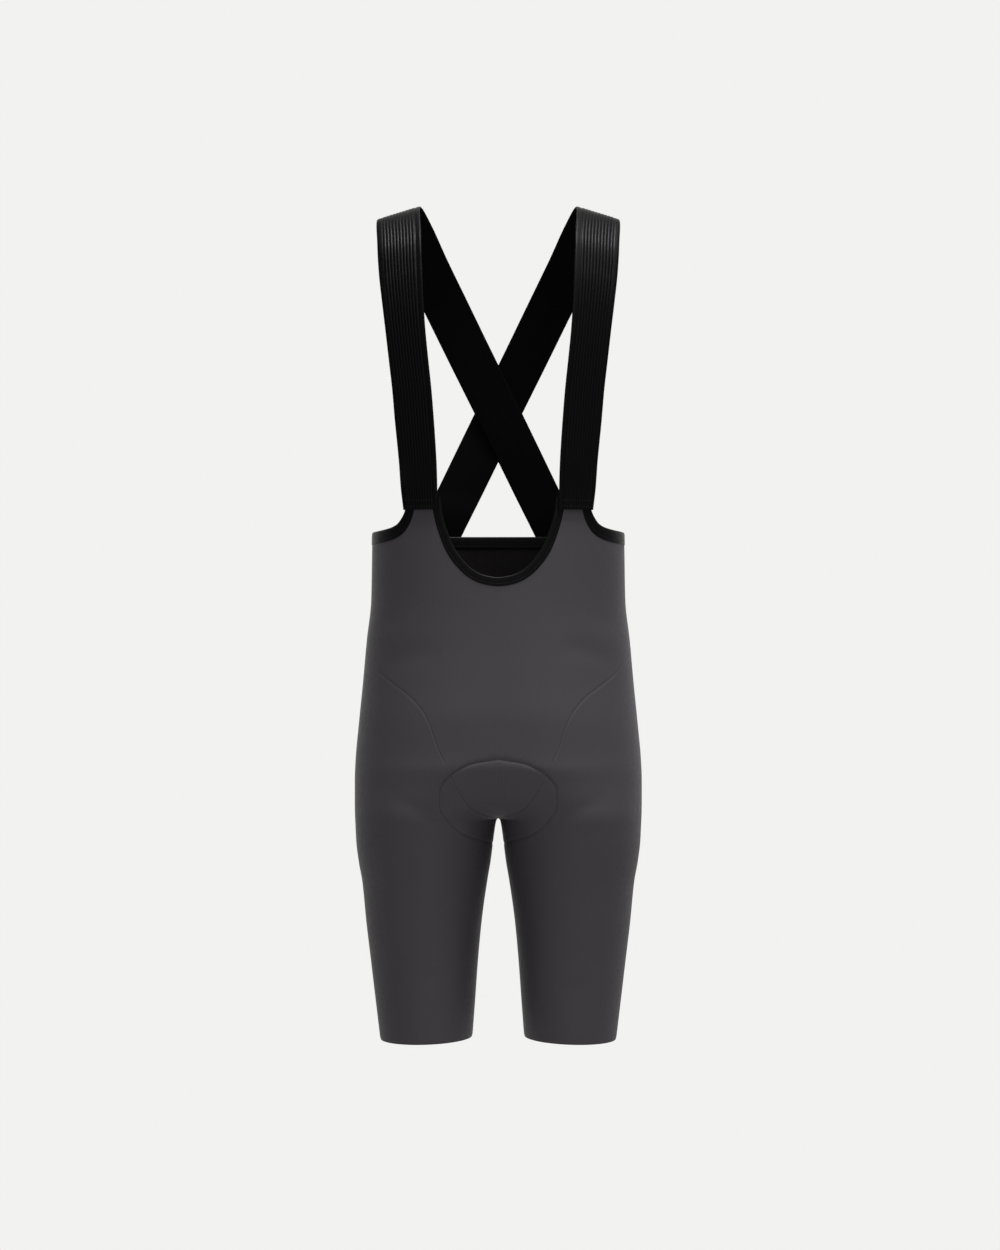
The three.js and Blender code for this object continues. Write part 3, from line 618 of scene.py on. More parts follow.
def pad_outline():
    """The closed row of stitches round the pad, as points on the body."""
    first, last = PAD_SEAM_ENDS
    angles = np.linspace(first + PAD_SEAM_ROUNDING, last - PAD_SEAM_ROUNDING, PAD_OUTLINE_LINES)
    edge = across_pad(angles, pad_half_width(angles) + PAD_SEAM_OUTSIDE, PAD_OUTLINE_CELLS)[:, -1]
    ends = across_pad(np.array([first, last]), np.ones(2), 1)[:, 0]
    knots = np.vstack([ends[:1], edge, ends[1:], edge[::-1] * MIRROR, ends[:1]])
    curve = curve_points(knots, np.linspace(0, 1, PAD_OUTLINE_FINE))
    reached = run_length(curve)
    at = np.linspace(0, reached[-1], int(reached[-1] / PAD_SEAM_STEP))
    return onto_surface(np.stack([np.interp(at, reached, curve[:, i]) for i in range(3)], axis=-1))


PAD_OUTLINE = pad_outline()


def pad_seam_distance(points):
    """How far points are from the pad's row of stitches: far ones only as far away."""
    roughly = np.full(len(points), FAR)
    for place in PAD_OUTLINE[::PAD_OUTLINE_STRIDE]:
        roughly = np.minimum(roughly, np.linalg.norm(points - place, axis=1))
    near = np.flatnonzero(roughly < PAD_OUTLINE_NEAR)
    distance = np.full(len(points), FAR)
    distance[near] = line_segments_near(points[near], PAD_OUTLINE)[0]
    return distance


def pad_relief(points):
    front = smoothstep(points[:, 2], PAD_SEAM_DEEP["from"], PAD_SEAM_DEEP["full"]) * (points[:, 1] < 0)
    depth = PAD_SEAM_DEPTH_BELOW + (PAD_SEAM_DEPTH - PAD_SEAM_DEPTH_BELOW) * front
    return -depth * np.exp(-((pad_seam_distance(points) / PAD_SEAM_WIDTH) ** 2))


# Cloth pieces


def lengths_from_edges(grid):
    """How far each point of a grid is from its top, bottom, first and last edge."""
    down = run_length(np.swapaxes(grid, 0, 1)).T
    over = run_length(grid)
    return down, down[-1:] - down, over, over[:, -1:] - over


def seam_relief(distance, allowance):
    valley = -SEAM_DEPTH * np.exp(-((distance / SEAM_REACH) ** 2))
    if not allowance:
        return valley
    soft = SEAM_ALLOWANCE_SOFT
    ends = 1 - smoothstep(distance, SEAM_ALLOWANCE_REACH - soft["fades"], SEAM_ALLOWANCE_REACH)
    return valley + SEAM_ALLOWANCE_RISE * smoothstep(distance, soft["from"], soft["full"]) * ends


def uv_of(places):
    return np.stack([places[..., 0] * MM_PER_TURN, places[..., 1]], axis=-1) * MM


def numbers_of(items, name, width):
    """One number or vector of each vertex, face or loop as an array."""
    values = np.zeros(len(items) * width, np.float32)
    items.foreach_get(name, values)
    return values.reshape(-1, width).astype(float)


def points_of(piece):
    return numbers_of(piece.data.vertices, "co", 3) / MM


def place_points(piece, points):
    piece.data.vertices.foreach_set("co", (points * MM).astype(np.float32).ravel())
    piece.data.update()


def place_map(mesh, uv):
    mesh.uv_layers.active.uv.foreach_set("vector", uv.astype(np.float32).ravel())


def deselect():
    bpy.ops.object.select_all(action="DESELECT")


def only(piece):
    deselect()
    piece.select_set(True)
    bpy.context.view_layer.objects.active = piece


def in_edit_mode(piece, *steps):
    only(piece)
    bpy.ops.object.mode_set(mode="EDIT")
    bpy.ops.mesh.select_mode(type="VERT")
    bpy.ops.mesh.select_all(action="SELECT")
    for step in steps:
        step()
    bpy.ops.object.mode_set(mode="OBJECT")


def laid_grid(name, points, uv):
    """Grid whose points are put in place one by one, with its own map."""
    rows, columns = points.shape[:2]
    deselect()
    bpy.ops.mesh.primitive_grid_add(x_subdivisions=columns - 1, y_subdivisions=rows - 1, size=1)
    piece = bpy.context.object
    piece.name = name
    piece.data.name = name
    corner = np.zeros(len(piece.data.loops), np.int32)
    piece.data.loops.foreach_get("vertex_index", corner)
    piece.data.uv_layers.active.name = "cloth"
    place_map(piece.data, uv.reshape(-1, 2)[corner])
    place_points(piece, points)
    return piece


def merge_close():
    bpy.ops.mesh.remove_doubles(threshold=MERGE_WITHIN * MM)


def faces_out(piece):
    """Turns the faces of a piece of cloth so that they look out of the body."""
    centre = numbers_of(piece.data.polygons, "center", 3) / MM
    normal = numbers_of(piece.data.polygons, "normal", 3)
    if np.sum(outward(centre) * normal) < 0:
        in_edit_mode(piece, bpy.ops.mesh.flip_normals)


def apply_modifier(piece, kind, **settings):
    only(piece)
    modifier = piece.modifiers.new(kind.lower(), kind)
    for key, value in settings.items():
        setattr(modifier, key, value)
    bpy.ops.object.modifier_apply(modifier=modifier.name)


SHADED_WITHIN = 50
PAD_SHADED_WITHIN = 60
STITCH_SHADED_WITHIN = 80


def smooth_shaded(piece, degrees=SHADED_WITHIN):
    only(piece)
    bpy.ops.object.shade_smooth_by_angle(angle=math.radians(degrees))




def sew_pad_row(piece):
    """Divides the cloth along the pad's row of stitches, and draws it in there."""
    reach = pad_seam_distance(points_of(piece))
    only(piece)
    for items in (piece.data.edges, piece.data.polygons):
        items.foreach_set("select", np.zeros(len(items), bool))
    piece.data.vertices.foreach_set("select", reach < PAD_SEAM_FINE_WITHIN)
    bpy.ops.object.mode_set(mode="EDIT")
    bpy.ops.mesh.subdivide(number_cuts=PAD_SEAM_CUTS)
    bpy.ops.object.mode_set(mode="OBJECT")
    points = points_of(piece)
    place_points(piece, points + outward(points) * pad_relief(points)[:, None])


def two_sided(piece):
    """Gives the piece a material slot for its outside and one for its inside."""
    for _ in range(2):
        piece.data.materials.append(None)


def cloth_piece(name, grid, places):
    piece = laid_grid(name, grid, uv_of(places))
    in_edit_mode(piece, merge_close)
    faces_out(piece)
    sew_pad_row(piece)
    two_sided(piece)
    apply_modifier(
        piece, "SOLIDIFY", thickness=CLOTH_THICK * MM, offset=-1, use_rim=True, material_offset=1)
    smooth_shaded(piece)
    return piece


def opened(grid, edges, last_open_row=None):
    """The grid with the edges that are seams drawn back a little along the cloth."""
    moved = grid.copy()
    rows = slice(None) if last_open_row is None else slice(0, last_open_row)
    beside = {
        "top": ((0,), (1,)),
        "bottom": ((-1,), (-2,)),
        "first": ((rows, 0), (rows, 1)),
        "last": ((rows, -1), (rows, -2)),
    }
    for edge in edges:
        at, inner = beside[edge]
        moved[at] += SEAM_OPEN * unit(grid[inner] - grid[at])
    return moved


def panel_relief(name, grid, closing_row):
    """Relief of a panel's seams, and of the turned hem on a leg."""
    top, bottom, first, last = lengths_from_edges(grid)
    if not name.startswith("leg"):
        return seam_relief(np.minimum(bottom, np.minimum(first, last)), False)
    above = np.arange(grid.shape[0])[:, None] <= closing_row
    middle = np.where(above, last, FAR)
    hem = -HEM_TURN * np.exp(-((bottom / HEM_TURN_REACH) ** 2))
    return seam_relief(np.minimum(top, middle), True) + hem


def cloth_panels():
    leg, closing_row = leg_places()
    places = {"front_panel": front_places(), "back_panel": back_places(), "leg_left": leg, "leg_right": leg}
    points = {}
    for name, panel in places.items():
        point_at = half_point if name.startswith("leg") else body_point
        points[name] = point_at(panel[..., 0], panel[..., 1]) * (MIRROR if name == "leg_right" else 1)
    net = Net(points)
    seam = np.zeros(len(net.points))
    for name in net.grids:
        made = panel_relief(name, net.grid(name), closing_row).ravel()
        number = net.number_of(name)
        strongest = np.abs(made) > np.abs(seam[number])
        seam[number[strongest]] = made[strongest]
    net.points = net.points + net.normals() * (crease_relief(net.points) + seam)[:, None]
    pieces = {}
    for name, panel in places.items():
        if name.startswith("leg"):
            grid = opened(net.grid(name), ("top", "first", "last"), closing_row)
        else:
            grid = opened(net.grid(name), ("bottom", "first", "last"))
        pieces[name] = cloth_piece(f"{name}_cloth", grid, panel)
    return pieces


# Elastic bindings: a tape folded over the cloth's edge

BINDING_THICK = 2.3
NECK_BINDING_WIDTH = 8
BODY_BINDING_WIDTH = 12
BODY_BINDING_WIDTH_AT_HORN = 10.4
BODY_BINDING_WIDENS = {"from": -311, "to": -335}
BINDING_STATION = 1.6

# Section of the tape: share of its width from the cloth's edge to the fold, and how far out it stands
# from the middle of the cloth, as a share of half its thickness
BINDING_SECTION = (
    (-0.16, 0.62), (-0.13, 0.86), (-0.06, 0.95), (0.08, 0.97), (0.17, 0.86), (0.24, 0.97), (0.42, 1.04),
    (0.62, 1.04), (0.78, 0.99), (0.9, 0.82), (0.97, 0.5), (1.0, 0.0), (0.97, -0.5), (0.9, -0.82),
    (0.78, -0.99), (0.5, -1.04), (0.24, -0.97), (0.0, -0.95), (-0.13, -0.86), (-0.16, -0.62),
)


def square_to(line, open_side):
    """Directions in the body's surface, square to a line and towards its open side."""
    along = np.gradient(line, axis=0)
    direction = unit(np.cross(outward(line), along))
    flip = np.where(np.sum(direction * (open_side - line), axis=1) < 0, -1, 1)
    return direction * flip[:, None]


def binding_point(line, opening, across, out):
    """Points beside an edge of the cloth: across towards the open side, out from the cloth's middle."""
    place = onto_surface(line + opening * across[:, None])
    return place + outward(place) * (out - CLOTH_THICK / 2)[:, None]


def close_ends(piece):
    """Fills the open ends of a merged tube and turns all its faces outwards."""
    only(piece)
    bpy.ops.object.mode_set(mode="EDIT")
    bpy.ops.mesh.select_all(action="DESELECT")
    bpy.ops.mesh.select_non_manifold(extend=False, use_boundary=True)
    bpy.ops.mesh.fill()
    bpy.ops.mesh.select_all(action="SELECT")
    bpy.ops.mesh.normals_make_consistent(inside=False)
    bpy.ops.object.mode_set(mode="OBJECT")


def swept(name, rings, inside_from=None):
    """Closed piece from rings of points along its length. Points from inside_from on are its inside."""
    closed = np.concatenate([rings, rings[:, :1]], axis=1)
    length = run_length(closed.mean(axis=1))
    girth = run_length(closed[0])
    uv = np.stack(np.broadcast_arrays(girth[None, :], length[:, None]), axis=-1) * MM
    piece = laid_grid(name, closed, uv)
    two_sided(piece)
    if inside_from is not None:
        column = np.arange(len(piece.data.polygons)) % rings.shape[1]
        piece.data.polygons.foreach_set("material_index", (column >= inside_from).astype(np.int32))
    in_edit_mode(piece, merge_close)
    close_ends(piece)
    smooth_shaded(piece)
    return piece


def binding(name, line, width, open_side):
    opening = square_to(line, open_side)
    rings = []
    for share, stands in BINDING_SECTION:
        across = np.where(share < 0, share * NECK_BINDING_WIDTH, share * width)
        rings.append(binding_point(line, opening, across, np.full(len(line), stands * BINDING_THICK / 2)))
    return swept(name, np.stack(rings, axis=1))


def edge_line(places):
    length = run_length(body_point(places[:, 0], places[:, 1]))[-1]
    even = spaced(places, int(length / BINDING_STATION))
    return body_point(even[:, 0], even[:, 1]), even


def neck_line():
    return edge_line(across_front(neck_edge))


def neck_open_side(line):
    above = np.array([0, body_point(0, HORN_TOP)[1], HORN_TOP])
    return np.broadcast_to(above, line.shape)


def body_line():
    half = np.vstack([armhole_edge, back_edge[1:]])
    return edge_line(np.vstack([half, mirrored_at_back(half[-2::-1])]))


def body_open_side(line):
    side = float(half_point(turn_at_side(HORN_TOP), HORN_TOP)[0])
    above = line.copy()
    above[:, 2] = HORN_TOP
    above[:, 0] = np.where(line[:, 1] < 0, np.sign(line[:, 0]) * side, line[:, 0])
    return above


def body_binding_width(places):
    widens = BODY_BINDING_WIDENS
    at_horn = smoothstep(places[:, 1], widens["to"], widens["from"])
    return BODY_BINDING_WIDTH + (BODY_BINDING_WIDTH_AT_HORN - BODY_BINDING_WIDTH) * at_horn


# Ribbed elastic straps

STRAP_THICK = 1.9
STRAP_RIB_HEIGHT = 0.4
STRAP_RIB_COUNT = 10
STRAP_SELVEDGE_SHARE = 0.135
STRAP_SEAT = 1.25
STRAP_CROSSING = {"middle": -205, "reach": 110, "lift": 2.3}
STRAP_ON_FRONT = {"on": -298, "off": -262}
STRAP_ON_BACK = {"on": -328, "off": -285}
STRAP_STATIONS = 300
STRAP_EDGE_ROUND = 0.018
STRAP_EDGE_HEIGHTS = ((0.0, 0.5), (0.3, 0.82), (1.0, 0.98))
STRAP_UNDERSIDE_AT_EDGE = 0.18
STRAP_UNDERSIDE_ROUND = 0.02
STRAP_UNDERSIDE_POINTS = 9
STRAP_GROOVE = {"share": 0.013, "depth": 0.55, "from": 2.2, "first": 1.5, "last": 0.6}
STRAP_SELVEDGE_RISE = 0.08
STRAP_SELVEDGE_FROM_RIBS = 0.012
STRAP_SELVEDGE_POINTS = 4
STRAP_RIB_SINK = 0.12
STRAP_RIB_FULLNESS = 0.6
STRAP_FINE = 1200
STRAP_STEP = 1 / 300
RIB_CELLS = 6

# Edges of the strap over the left shoulder, from its front foot to its back end on the other side:
# x, y and z of the edge nearer to the neck at the shoulder, then of the other edge
STRAP_EDGES = (
    (60.9, -87, -313, 95.9, -67, -313),
    (61.6, -89, -283, 99.5, -69.5, -283),
    (63.1, -90, -252, 102.5, -71, -252),
    (65.2, -90, -221, 105.6, -71.5, -221),
    (67.7, -89.5, -190, 108.3, -71.5, -190),
    (70.9, -87.5, -160, 111.8, -70, -160),
    (74, -84, -129, 115.5, -67.5, -129),
    (76.2, -77.5, -97, 119.3, -62, -99),
    (78, -66.5, -63, 122.8, -52, -70),
    (79.7, -45, -25, 125.3, -36, -37),
    (81.2, 0, 7, 126.3, 0, -7),
    (69.5, 38, -9, 113.6, 31, -28),
    (54.5, 60, -40, 98, 55, -59),
    (33.9, 77, -81, 77, 73, -100),
    (7.9, 86, -134, 50.6, 85, -153),
    (-25.6, 90, -202, 17.1, 90, -220),
    (-59.9, 81, -274, -16.5, 89, -289),
    (-80.6, 70, -318, -34.6, 85, -326),
    (-94.8, 61, -348, -45.2, 80, -348),
)


def strap_section():
    """Section of the strap: share across it and height. Ribs outside, plain inside, rounded edges."""
    top, edge, selvedge, groove = STRAP_THICK, STRAP_EDGE_ROUND, STRAP_SELVEDGE_SHARE, STRAP_GROOVE
    width = groove["share"]
    rounded = [(edge * share, top * height) for share, height in STRAP_EDGE_HEIGHTS]
    under = [(edge * 0.3, top * STRAP_UNDERSIDE_AT_EDGE), (edge, STRAP_UNDERSIDE_ROUND)]
    flat = top + STRAP_SELVEDGE_RISE
    first = np.linspace(edge * 2, selvedge - groove["from"] * width, STRAP_SELVEDGE_POINTS)
    last = np.linspace(1 - selvedge + STRAP_SELVEDGE_FROM_RIBS, 1 - edge * 2, STRAP_SELVEDGE_POINTS)
    section = rounded + [(share, flat) for share in first]
    section += [(selvedge - groove[side] * width, top - groove["depth"]) for side in ("first", "last")]
    for rib in range(STRAP_RIB_COUNT):
        for cell in range(RIB_CELLS):
            share = selvedge + (1 - 2 * selvedge) * (rib + cell / RIB_CELLS) / STRAP_RIB_COUNT
            height = STRAP_RIB_HEIGHT * math.sin(math.pi * cell / RIB_CELLS) ** STRAP_RIB_FULLNESS
            section.append((share, top + height if cell else top - STRAP_RIB_SINK))
    section.append((1 - selvedge, top - STRAP_RIB_SINK))
    section += [(share, flat) for share in last]
    section += [(1 - share, height) for share, height in reversed(rounded)]
    section += [(1 - share, height) for share, height in under]
    section += [(share, 0.0) for share in np.linspace(1 - edge * 3, edge * 3, STRAP_UNDERSIDE_POINTS)]
    return np.array(section + under[::-1])


def seated_share(points):
    front = 1 - smoothstep(points[..., 2], STRAP_ON_FRONT["on"], STRAP_ON_FRONT["off"])
    back = 1 - smoothstep(points[..., 2], STRAP_ON_BACK["on"], STRAP_ON_BACK["off"])
    return np.where(points[..., 1] < 0, front, back)


class StrapForm:
    """The strap over the left shoulder: at the crossing it passes outside (1) or inside (-1)."""

    def __init__(self, passes):
        self.passes = passes
        rows = np.array(STRAP_EDGES, float)
        self.edge_in, self.edge_out = rows[:, :3], rows[:, 3:]
        self.fine = np.linspace(0, 1, STRAP_FINE)
        self.length = run_length(self.middle(self.fine))

    def middle(self, t):
        return (curve_points(self.edge_in, t) + curve_points(self.edge_out, t)) / 2

    def points(self, distance, share, out):
        """Points at distances along the strap and shares across it, standing out from its inside face."""
        distance, share, out = (a.astype(float) for a in np.broadcast_arrays(distance, share, out))
        shape = distance.shape
        distance, share, out = distance.ravel(), share.ravel(), out.ravel()
        t = np.interp(distance, self.length, self.fine)
        start, end = curve_points(self.edge_in, t), curve_points(self.edge_out, t)
        ahead = self.middle(np.minimum(1, t + STRAP_STEP)) - self.middle(np.maximum(0, t - STRAP_STEP))
        flat_normal = unit(np.cross(end - start, ahead))
        flat = start + (end - start) * share[:, None]
        away = (flat[:, 2] - STRAP_CROSSING["middle"]) / STRAP_CROSSING["reach"]
        lift = self.passes * STRAP_CROSSING["lift"] * (1 + np.cos(math.pi * np.clip(away, -1, 1))) / 2
        flat[:, 1] += np.where(flat[:, 1] > 0, lift, 0)
        on_back = flat[:, 1] > 0
        turn = np.sign(flat[:, 0]) * turn_at_x(np.abs(flat[:, 0]), flat[:, 2], on_back)
        body = body_point(turn, flat[:, 2])
        out_of_body = outward(body)
        seated = seated_share(flat)[:, None]
        normal = unit(flat_normal * (1 - seated) + out_of_body * seated)
        place = flat * (1 - seated) + (body + out_of_body * STRAP_SEAT) * seated
        return (place + normal * out[:, None]).reshape(shape + (3,))


def strap(name, form, mirror=False):
    section = strap_section()
    distance = np.linspace(0, form.length[-1], STRAP_STATIONS)[:, None]
    rings = form.points(distance, section[None, :, 0], section[None, :, 1])
    if mirror:
        rings = rings * MIRROR
    inside_from = int(np.argmax(section[:, 0])) + 1
    return swept(name, rings, inside_from)


# Seat pad

PAD_ROWS = 64
PAD_CELLS = 22
PAD_THINS_OVER_ROWS = 3
PAD_CROWN = 4
PAD_CHANNELS = {
    "along": 0.42, "across": (58, 104, 132), "depth": 2.6, "width": 2.4, "radius": 90, "ends": (0.9, 0.75)}
PAD_MAP_CELL = 2.4


def pad_thickness(angles, cells):
    fan = np.array([row[0] for row in PAD_LINES], float)
    row_place = np.interp(angles, fan, np.arange(len(fan)))
    from_end = np.minimum(row_place, len(fan) - 1 - row_place) / PAD_THINS_OVER_ROWS
    from_middle = np.abs(np.linspace(-1, 1, 2 * cells + 1))
    full = (1 - from_middle[None, :] ** PAD_CROWN) * np.minimum(1, from_end)[:, None]
    return PAD_EDGE_THICK + (PAD_THICK - PAD_EDGE_THICK) * full


def seat_pad():
    """The pad's points on its face to the cloth and on its face to the body."""
    angles = np.linspace(PAD_LINES[0][0], PAD_LINES[-1][0], PAD_ROWS)
    half = across_pad(angles, pad_half_width(angles), PAD_CELLS)
    cloth = np.concatenate([half[:, :0:-1] * MIRROR, half], axis=1)
    out = outward(cloth)
    thick = pad_thickness(angles, PAD_CELLS)
    share = np.abs(np.linspace(-1, 1, 2 * PAD_CELLS + 1))[None, :]
    width = pad_half_width(angles)[:, None]
    channels = PAD_CHANNELS
    sewn = np.exp(-(((share - channels["along"]) * width / channels["width"]) ** 2))
    for angle in channels["across"]:
        gap = np.radians(angles[:, None] - angle) * channels["radius"]
        across = np.exp(-((gap / channels["width"]) ** 2)) * smoothstep(share, *channels["ends"])
        sewn = np.maximum(sewn, across)
    low = cloth - out * (CLOTH_THICK + pad_clear(angles))[:, None, None]
    high = cloth - out * (thick - channels["depth"] * sewn * (thick / PAD_THICK))[..., None]
    return low, high


# The foam swells between its channels: how hard, for how long, and how far at most, in millimetres
SWELL = {"pressure": 4.0, "first": 1, "last": 20, "on_body_face": 1.6, "on_cloth_face": 0.2}
SWELL_CLOTH = {"quality": 6, "mass": 0.2, "stiffness": 12, "bending": 0.4}


def swell(piece):
    """Blows the cushion up a little as cloth, within what the garment leaves free, and keeps that shape."""
    scene = bpy.context.scene
    before = points_of(piece)
    only(piece)
    cloth = piece.modifiers.new("swell", "CLOTH")
    cloth.settings.quality = SWELL_CLOTH["quality"]
    cloth.settings.mass = SWELL_CLOTH["mass"]
    cloth.settings.tension_stiffness = SWELL_CLOTH["stiffness"]
    cloth.settings.compression_stiffness = SWELL_CLOTH["stiffness"]
    cloth.settings.bending_stiffness = SWELL_CLOTH["bending"]
    cloth.settings.use_pressure = True
    cloth.settings.uniform_pressure_force = SWELL["pressure"]
    cloth.settings.effector_weights.gravity = 0
    for frame_number in range(SWELL["first"], SWELL["last"] + 1):
        scene.frame_set(frame_number)
    swelled = piece.evaluated_get(bpy.context.evaluated_depsgraph_get())
    after = points_of(swelled)
    piece.modifiers.remove(cloth)
    scene.frame_set(SWELL["first"])
    moved = after - before
    towards_cloth = np.sum(outward(before) * numbers_of(piece.data.vertices, "normal", 3), axis=1) > 0
    most = np.where(towards_cloth, SWELL["on_cloth_face"], SWELL["on_body_face"])[:, None]
    far = np.linalg.norm(moved, axis=1, keepdims=True)
    kept = before + moved * np.minimum(1, most / np.maximum(far, 1e-9))
    place_points(piece, kept)
    apply_modifier(piece, "SUBSURF", levels=1, render_levels=1)


def cushion_piece():
    low, high = seat_pad()
    rows, columns = low.shape[:2]
    sheet = np.concatenate([low, high[:, ::-1]], axis=1)
    closed = np.concatenate([sheet, sheet[:, :1]], axis=1)
    place = np.stack(np.meshgrid(np.arange(closed.shape[1]), np.arange(rows)), axis=-1) * PAD_MAP_CELL
    piece = laid_grid("seat_pad_cushion", closed, place * MM)
    in_edit_mode(piece, merge_close)
    close_ends(piece)
    swell(piece)
    smooth_shaded(piece, PAD_SHADED_WITHIN)
    return piece


# Stitches: rows of short threads that stand a little proud of what they hold

STITCH_PITCH = 2.7
STITCH_LENGTH = 2.1
STITCH_THICK = 0.5
STITCH_SIDES = 6
STITCH_RINGS = 4
BINDING_STITCH_SHARE = 0.17
PAD_STITCH_THICK = 0.6
STRAP_STITCH_ROWS = (3.2, 9.4)
STRAP_STITCH_FROM_EDGE = 0.07
STRAP_STITCH_FINE = 24
STITCH_FLATTENED = 0.8
BINDING_STITCH_STANDS = {"share": 0.9, "above": 0.1}
PAD_STITCH_ABOVE = 0.05


def one_stitch():
    """A stitch of length, width and height 1: its points, faces and map."""
    deselect()
    bpy.ops.mesh.primitive_uv_sphere_add(segments=STITCH_SIDES, ring_count=STITCH_RINGS, radius=0.5)
    model = bpy.context.object
    bpy.ops.object.mode_set(mode="EDIT")
    bpy.ops.transform.rotate(value=math.pi / 2, orient_axis="Y", center_override=(0, 0, 0))
    bpy.ops.object.mode_set(mode="OBJECT")
    points = numbers_of(model.data.vertices, "co", 3)
    faces = [tuple(face.vertices) for face in model.data.polygons]
    uv = numbers_of(model.data.uv_layers.active.uv, "vector", 2)
    bpy.data.objects.remove(model)
    return points, faces, uv


STITCH = one_stitch()


def at_pitch(line, *followers):
    """Points along a line at the pitch of the stitches, and the same for what goes with its points."""
    reached = run_length(line)
    count = max(2, int(reached[-1] / STITCH_PITCH))
    at = (np.arange(count) + 0.5) * reached[-1] / count
    return [
        np.stack([np.interp(at, reached, values[:, i]) for i in range(3)], axis=-1)
        for values in (line, *followers)
    ]


def sewn_rows(name, rows, thick=STITCH_THICK):
    """One mesh of all the stitches of some rows, each a line of points and the directions out of it."""
    points, faces, uv = STITCH
    made_points, made_faces = [], []
    for line, out in rows:
        place, up = at_pitch(line, out)
        ahead = unit(np.gradient(place, axis=0))
        up = unit(up - ahead * np.sum(up * ahead, axis=1, keepdims=True))
        across = np.cross(up, ahead)
        size = np.array([STITCH_LENGTH, thick, thick * STITCH_FLATTENED])
        frames = np.stack([ahead, across, up], axis=1)
        turned = np.einsum("pk,nkc->npc", points * size, frames)
        made_points.append((place[:, None] + turned).reshape(-1, 3))
    all_points = np.concatenate(made_points) * MM
    copies = len(all_points) // len(points)
    for copy in range(copies):
        made_faces += [tuple(corner + copy * len(points) for corner in face) for face in faces]
    mesh = bpy.data.meshes.new(name)
    mesh.from_pydata(all_points.tolist(), [], made_faces)
    mesh.uv_layers.new(name="thread")
    map_size = np.array([STITCH_LENGTH, math.pi * thick]) * MM
    place_map(mesh, np.tile(uv * map_size, (copies, 1)))
    piece = bpy.data.objects.new(name, mesh)
    bpy.context.scene.collection.objects.link(piece)
    smooth_shaded(piece, STITCH_SHADED_WITHIN)
    return piece


def binding_rows(line, width, open_side):
    """The two faces of a binding where its needle went through, outside and inside."""
    opening = square_to(line, open_side)
    across = BINDING_STITCH_SHARE * width
    above = BINDING_STITCH_STANDS["share"] * BINDING_THICK / 2 + BINDING_STITCH_STANDS["above"]
    rows = []
    for face in (1, -1):
        stands = np.full(len(line), face * above)
        point = binding_point(line, opening, across, stands)
        rows.append((point, face * outward(point)))
    return rows


def strap_rows(form, mirror):
    """Rows across the strap near both of its ends, on its outside."""
    share = np.linspace(STRAP_STITCH_FROM_EDGE, 1 - STRAP_STITCH_FROM_EDGE, STRAP_STITCH_FINE)
    rows = []
    for from_end in STRAP_STITCH_ROWS:
        for distance in (from_end, form.length[-1] - from_end):
            low = form.points(distance, share, 0)
            high = form.points(distance, share, STRAP_THICK + STRAP_RIB_HEIGHT)
            if mirror:
                low, high = low * MIRROR, high * MIRROR
            rows.append((high, unit(high - low)))
    return rows


def pad_rows(panels):
    """The pad's row of stitches, on the cloth of the panels that it crosses."""
    found, normals = [], []
    for place in at_pitch(PAD_OUTLINE)[0]:
        target = Vector(place * MM)
        hits = [panel.closest_point_on_mesh(target)[1:3] for panel in panels]
        on_cloth, normal = min(hits, key=lambda hit: (hit[0] - target).length)
        found.append(np.array(on_cloth) / MM)
        normals.append(np.array(normal))
    found, normals = np.array(found), np.array(normals)
    normals *= np.sign(np.sum(normals * outward(found), axis=1, keepdims=True))
    return [(found + normals * PAD_STITCH_ABOVE, normals)]


# Materials


def new_group(name, inputs, outputs):
    group = bpy.data.node_groups.new(name, "ShaderNodeTree")
    for socket, kind, value in inputs:
        made = group.interface.new_socket(socket, in_out="INPUT", socket_type=f"NodeSocket{kind}")
        if value is not None:
            made.default_value = value
    for socket, kind in outputs:
        group.interface.new_socket(socket, in_out="OUTPUT", socket_type=f"NodeSocket{kind}")
    return group, group.nodes.new("NodeGroupInput"), group.nodes.new("NodeGroupOutput")


def math_node(tree, operation, first, second=None, third=None):
    """Math node whose inputs are sockets or plain values. Returns its output."""
    node = tree.nodes.new("ShaderNodeMath")
    node.operation = operation
    for i, value in enumerate((first, second, third)):
        if value is None:
            continue
        if isinstance(value, bpy.types.NodeSocket):
            tree.links.new(value, node.inputs[i])
        else:
            node.inputs[i].default_value = value
    return node.outputs[0]


def noise_node(tree, vector, scale, detail=3, roughness=0.55):
    node = tree.nodes.new("ShaderNodeTexNoise")
    node.inputs["Scale"].default_value = scale
    node.inputs["Detail"].default_value = detail
    node.inputs["Roughness"].default_value = roughness
    tree.links.new(vector, node.inputs["Vector"])
    return node.outputs["Fac"]


def range_node(tree, value, from_low, from_high, to_low, to_high):
    node = tree.nodes.new("ShaderNodeMapRange")
    settings = (("From Min", from_low), ("From Max", from_high), ("To Min", to_low), ("To Max", to_high))
    for socket, number in settings:
        if isinstance(number, bpy.types.NodeSocket):
            tree.links.new(number, node.inputs[socket])
        else:
            node.inputs[socket].default_value = number
    tree.links.new(value, node.inputs["Value"])
    return node.outputs["Result"]


KNIT_LOOP = {"slant": 1.3, "swing": 0.35, "base": 0.65, "crown": 1.7}
TONE_SCALES = {"patches": 9.0, "grain": 900.0, "lint": 150.0, "sparse": 60.0}
ROUGHNESS = {"scale": 260.0, "swing": 0.05}
LINT_COLOUR = (0.22, 0.22, 0.23, 1)


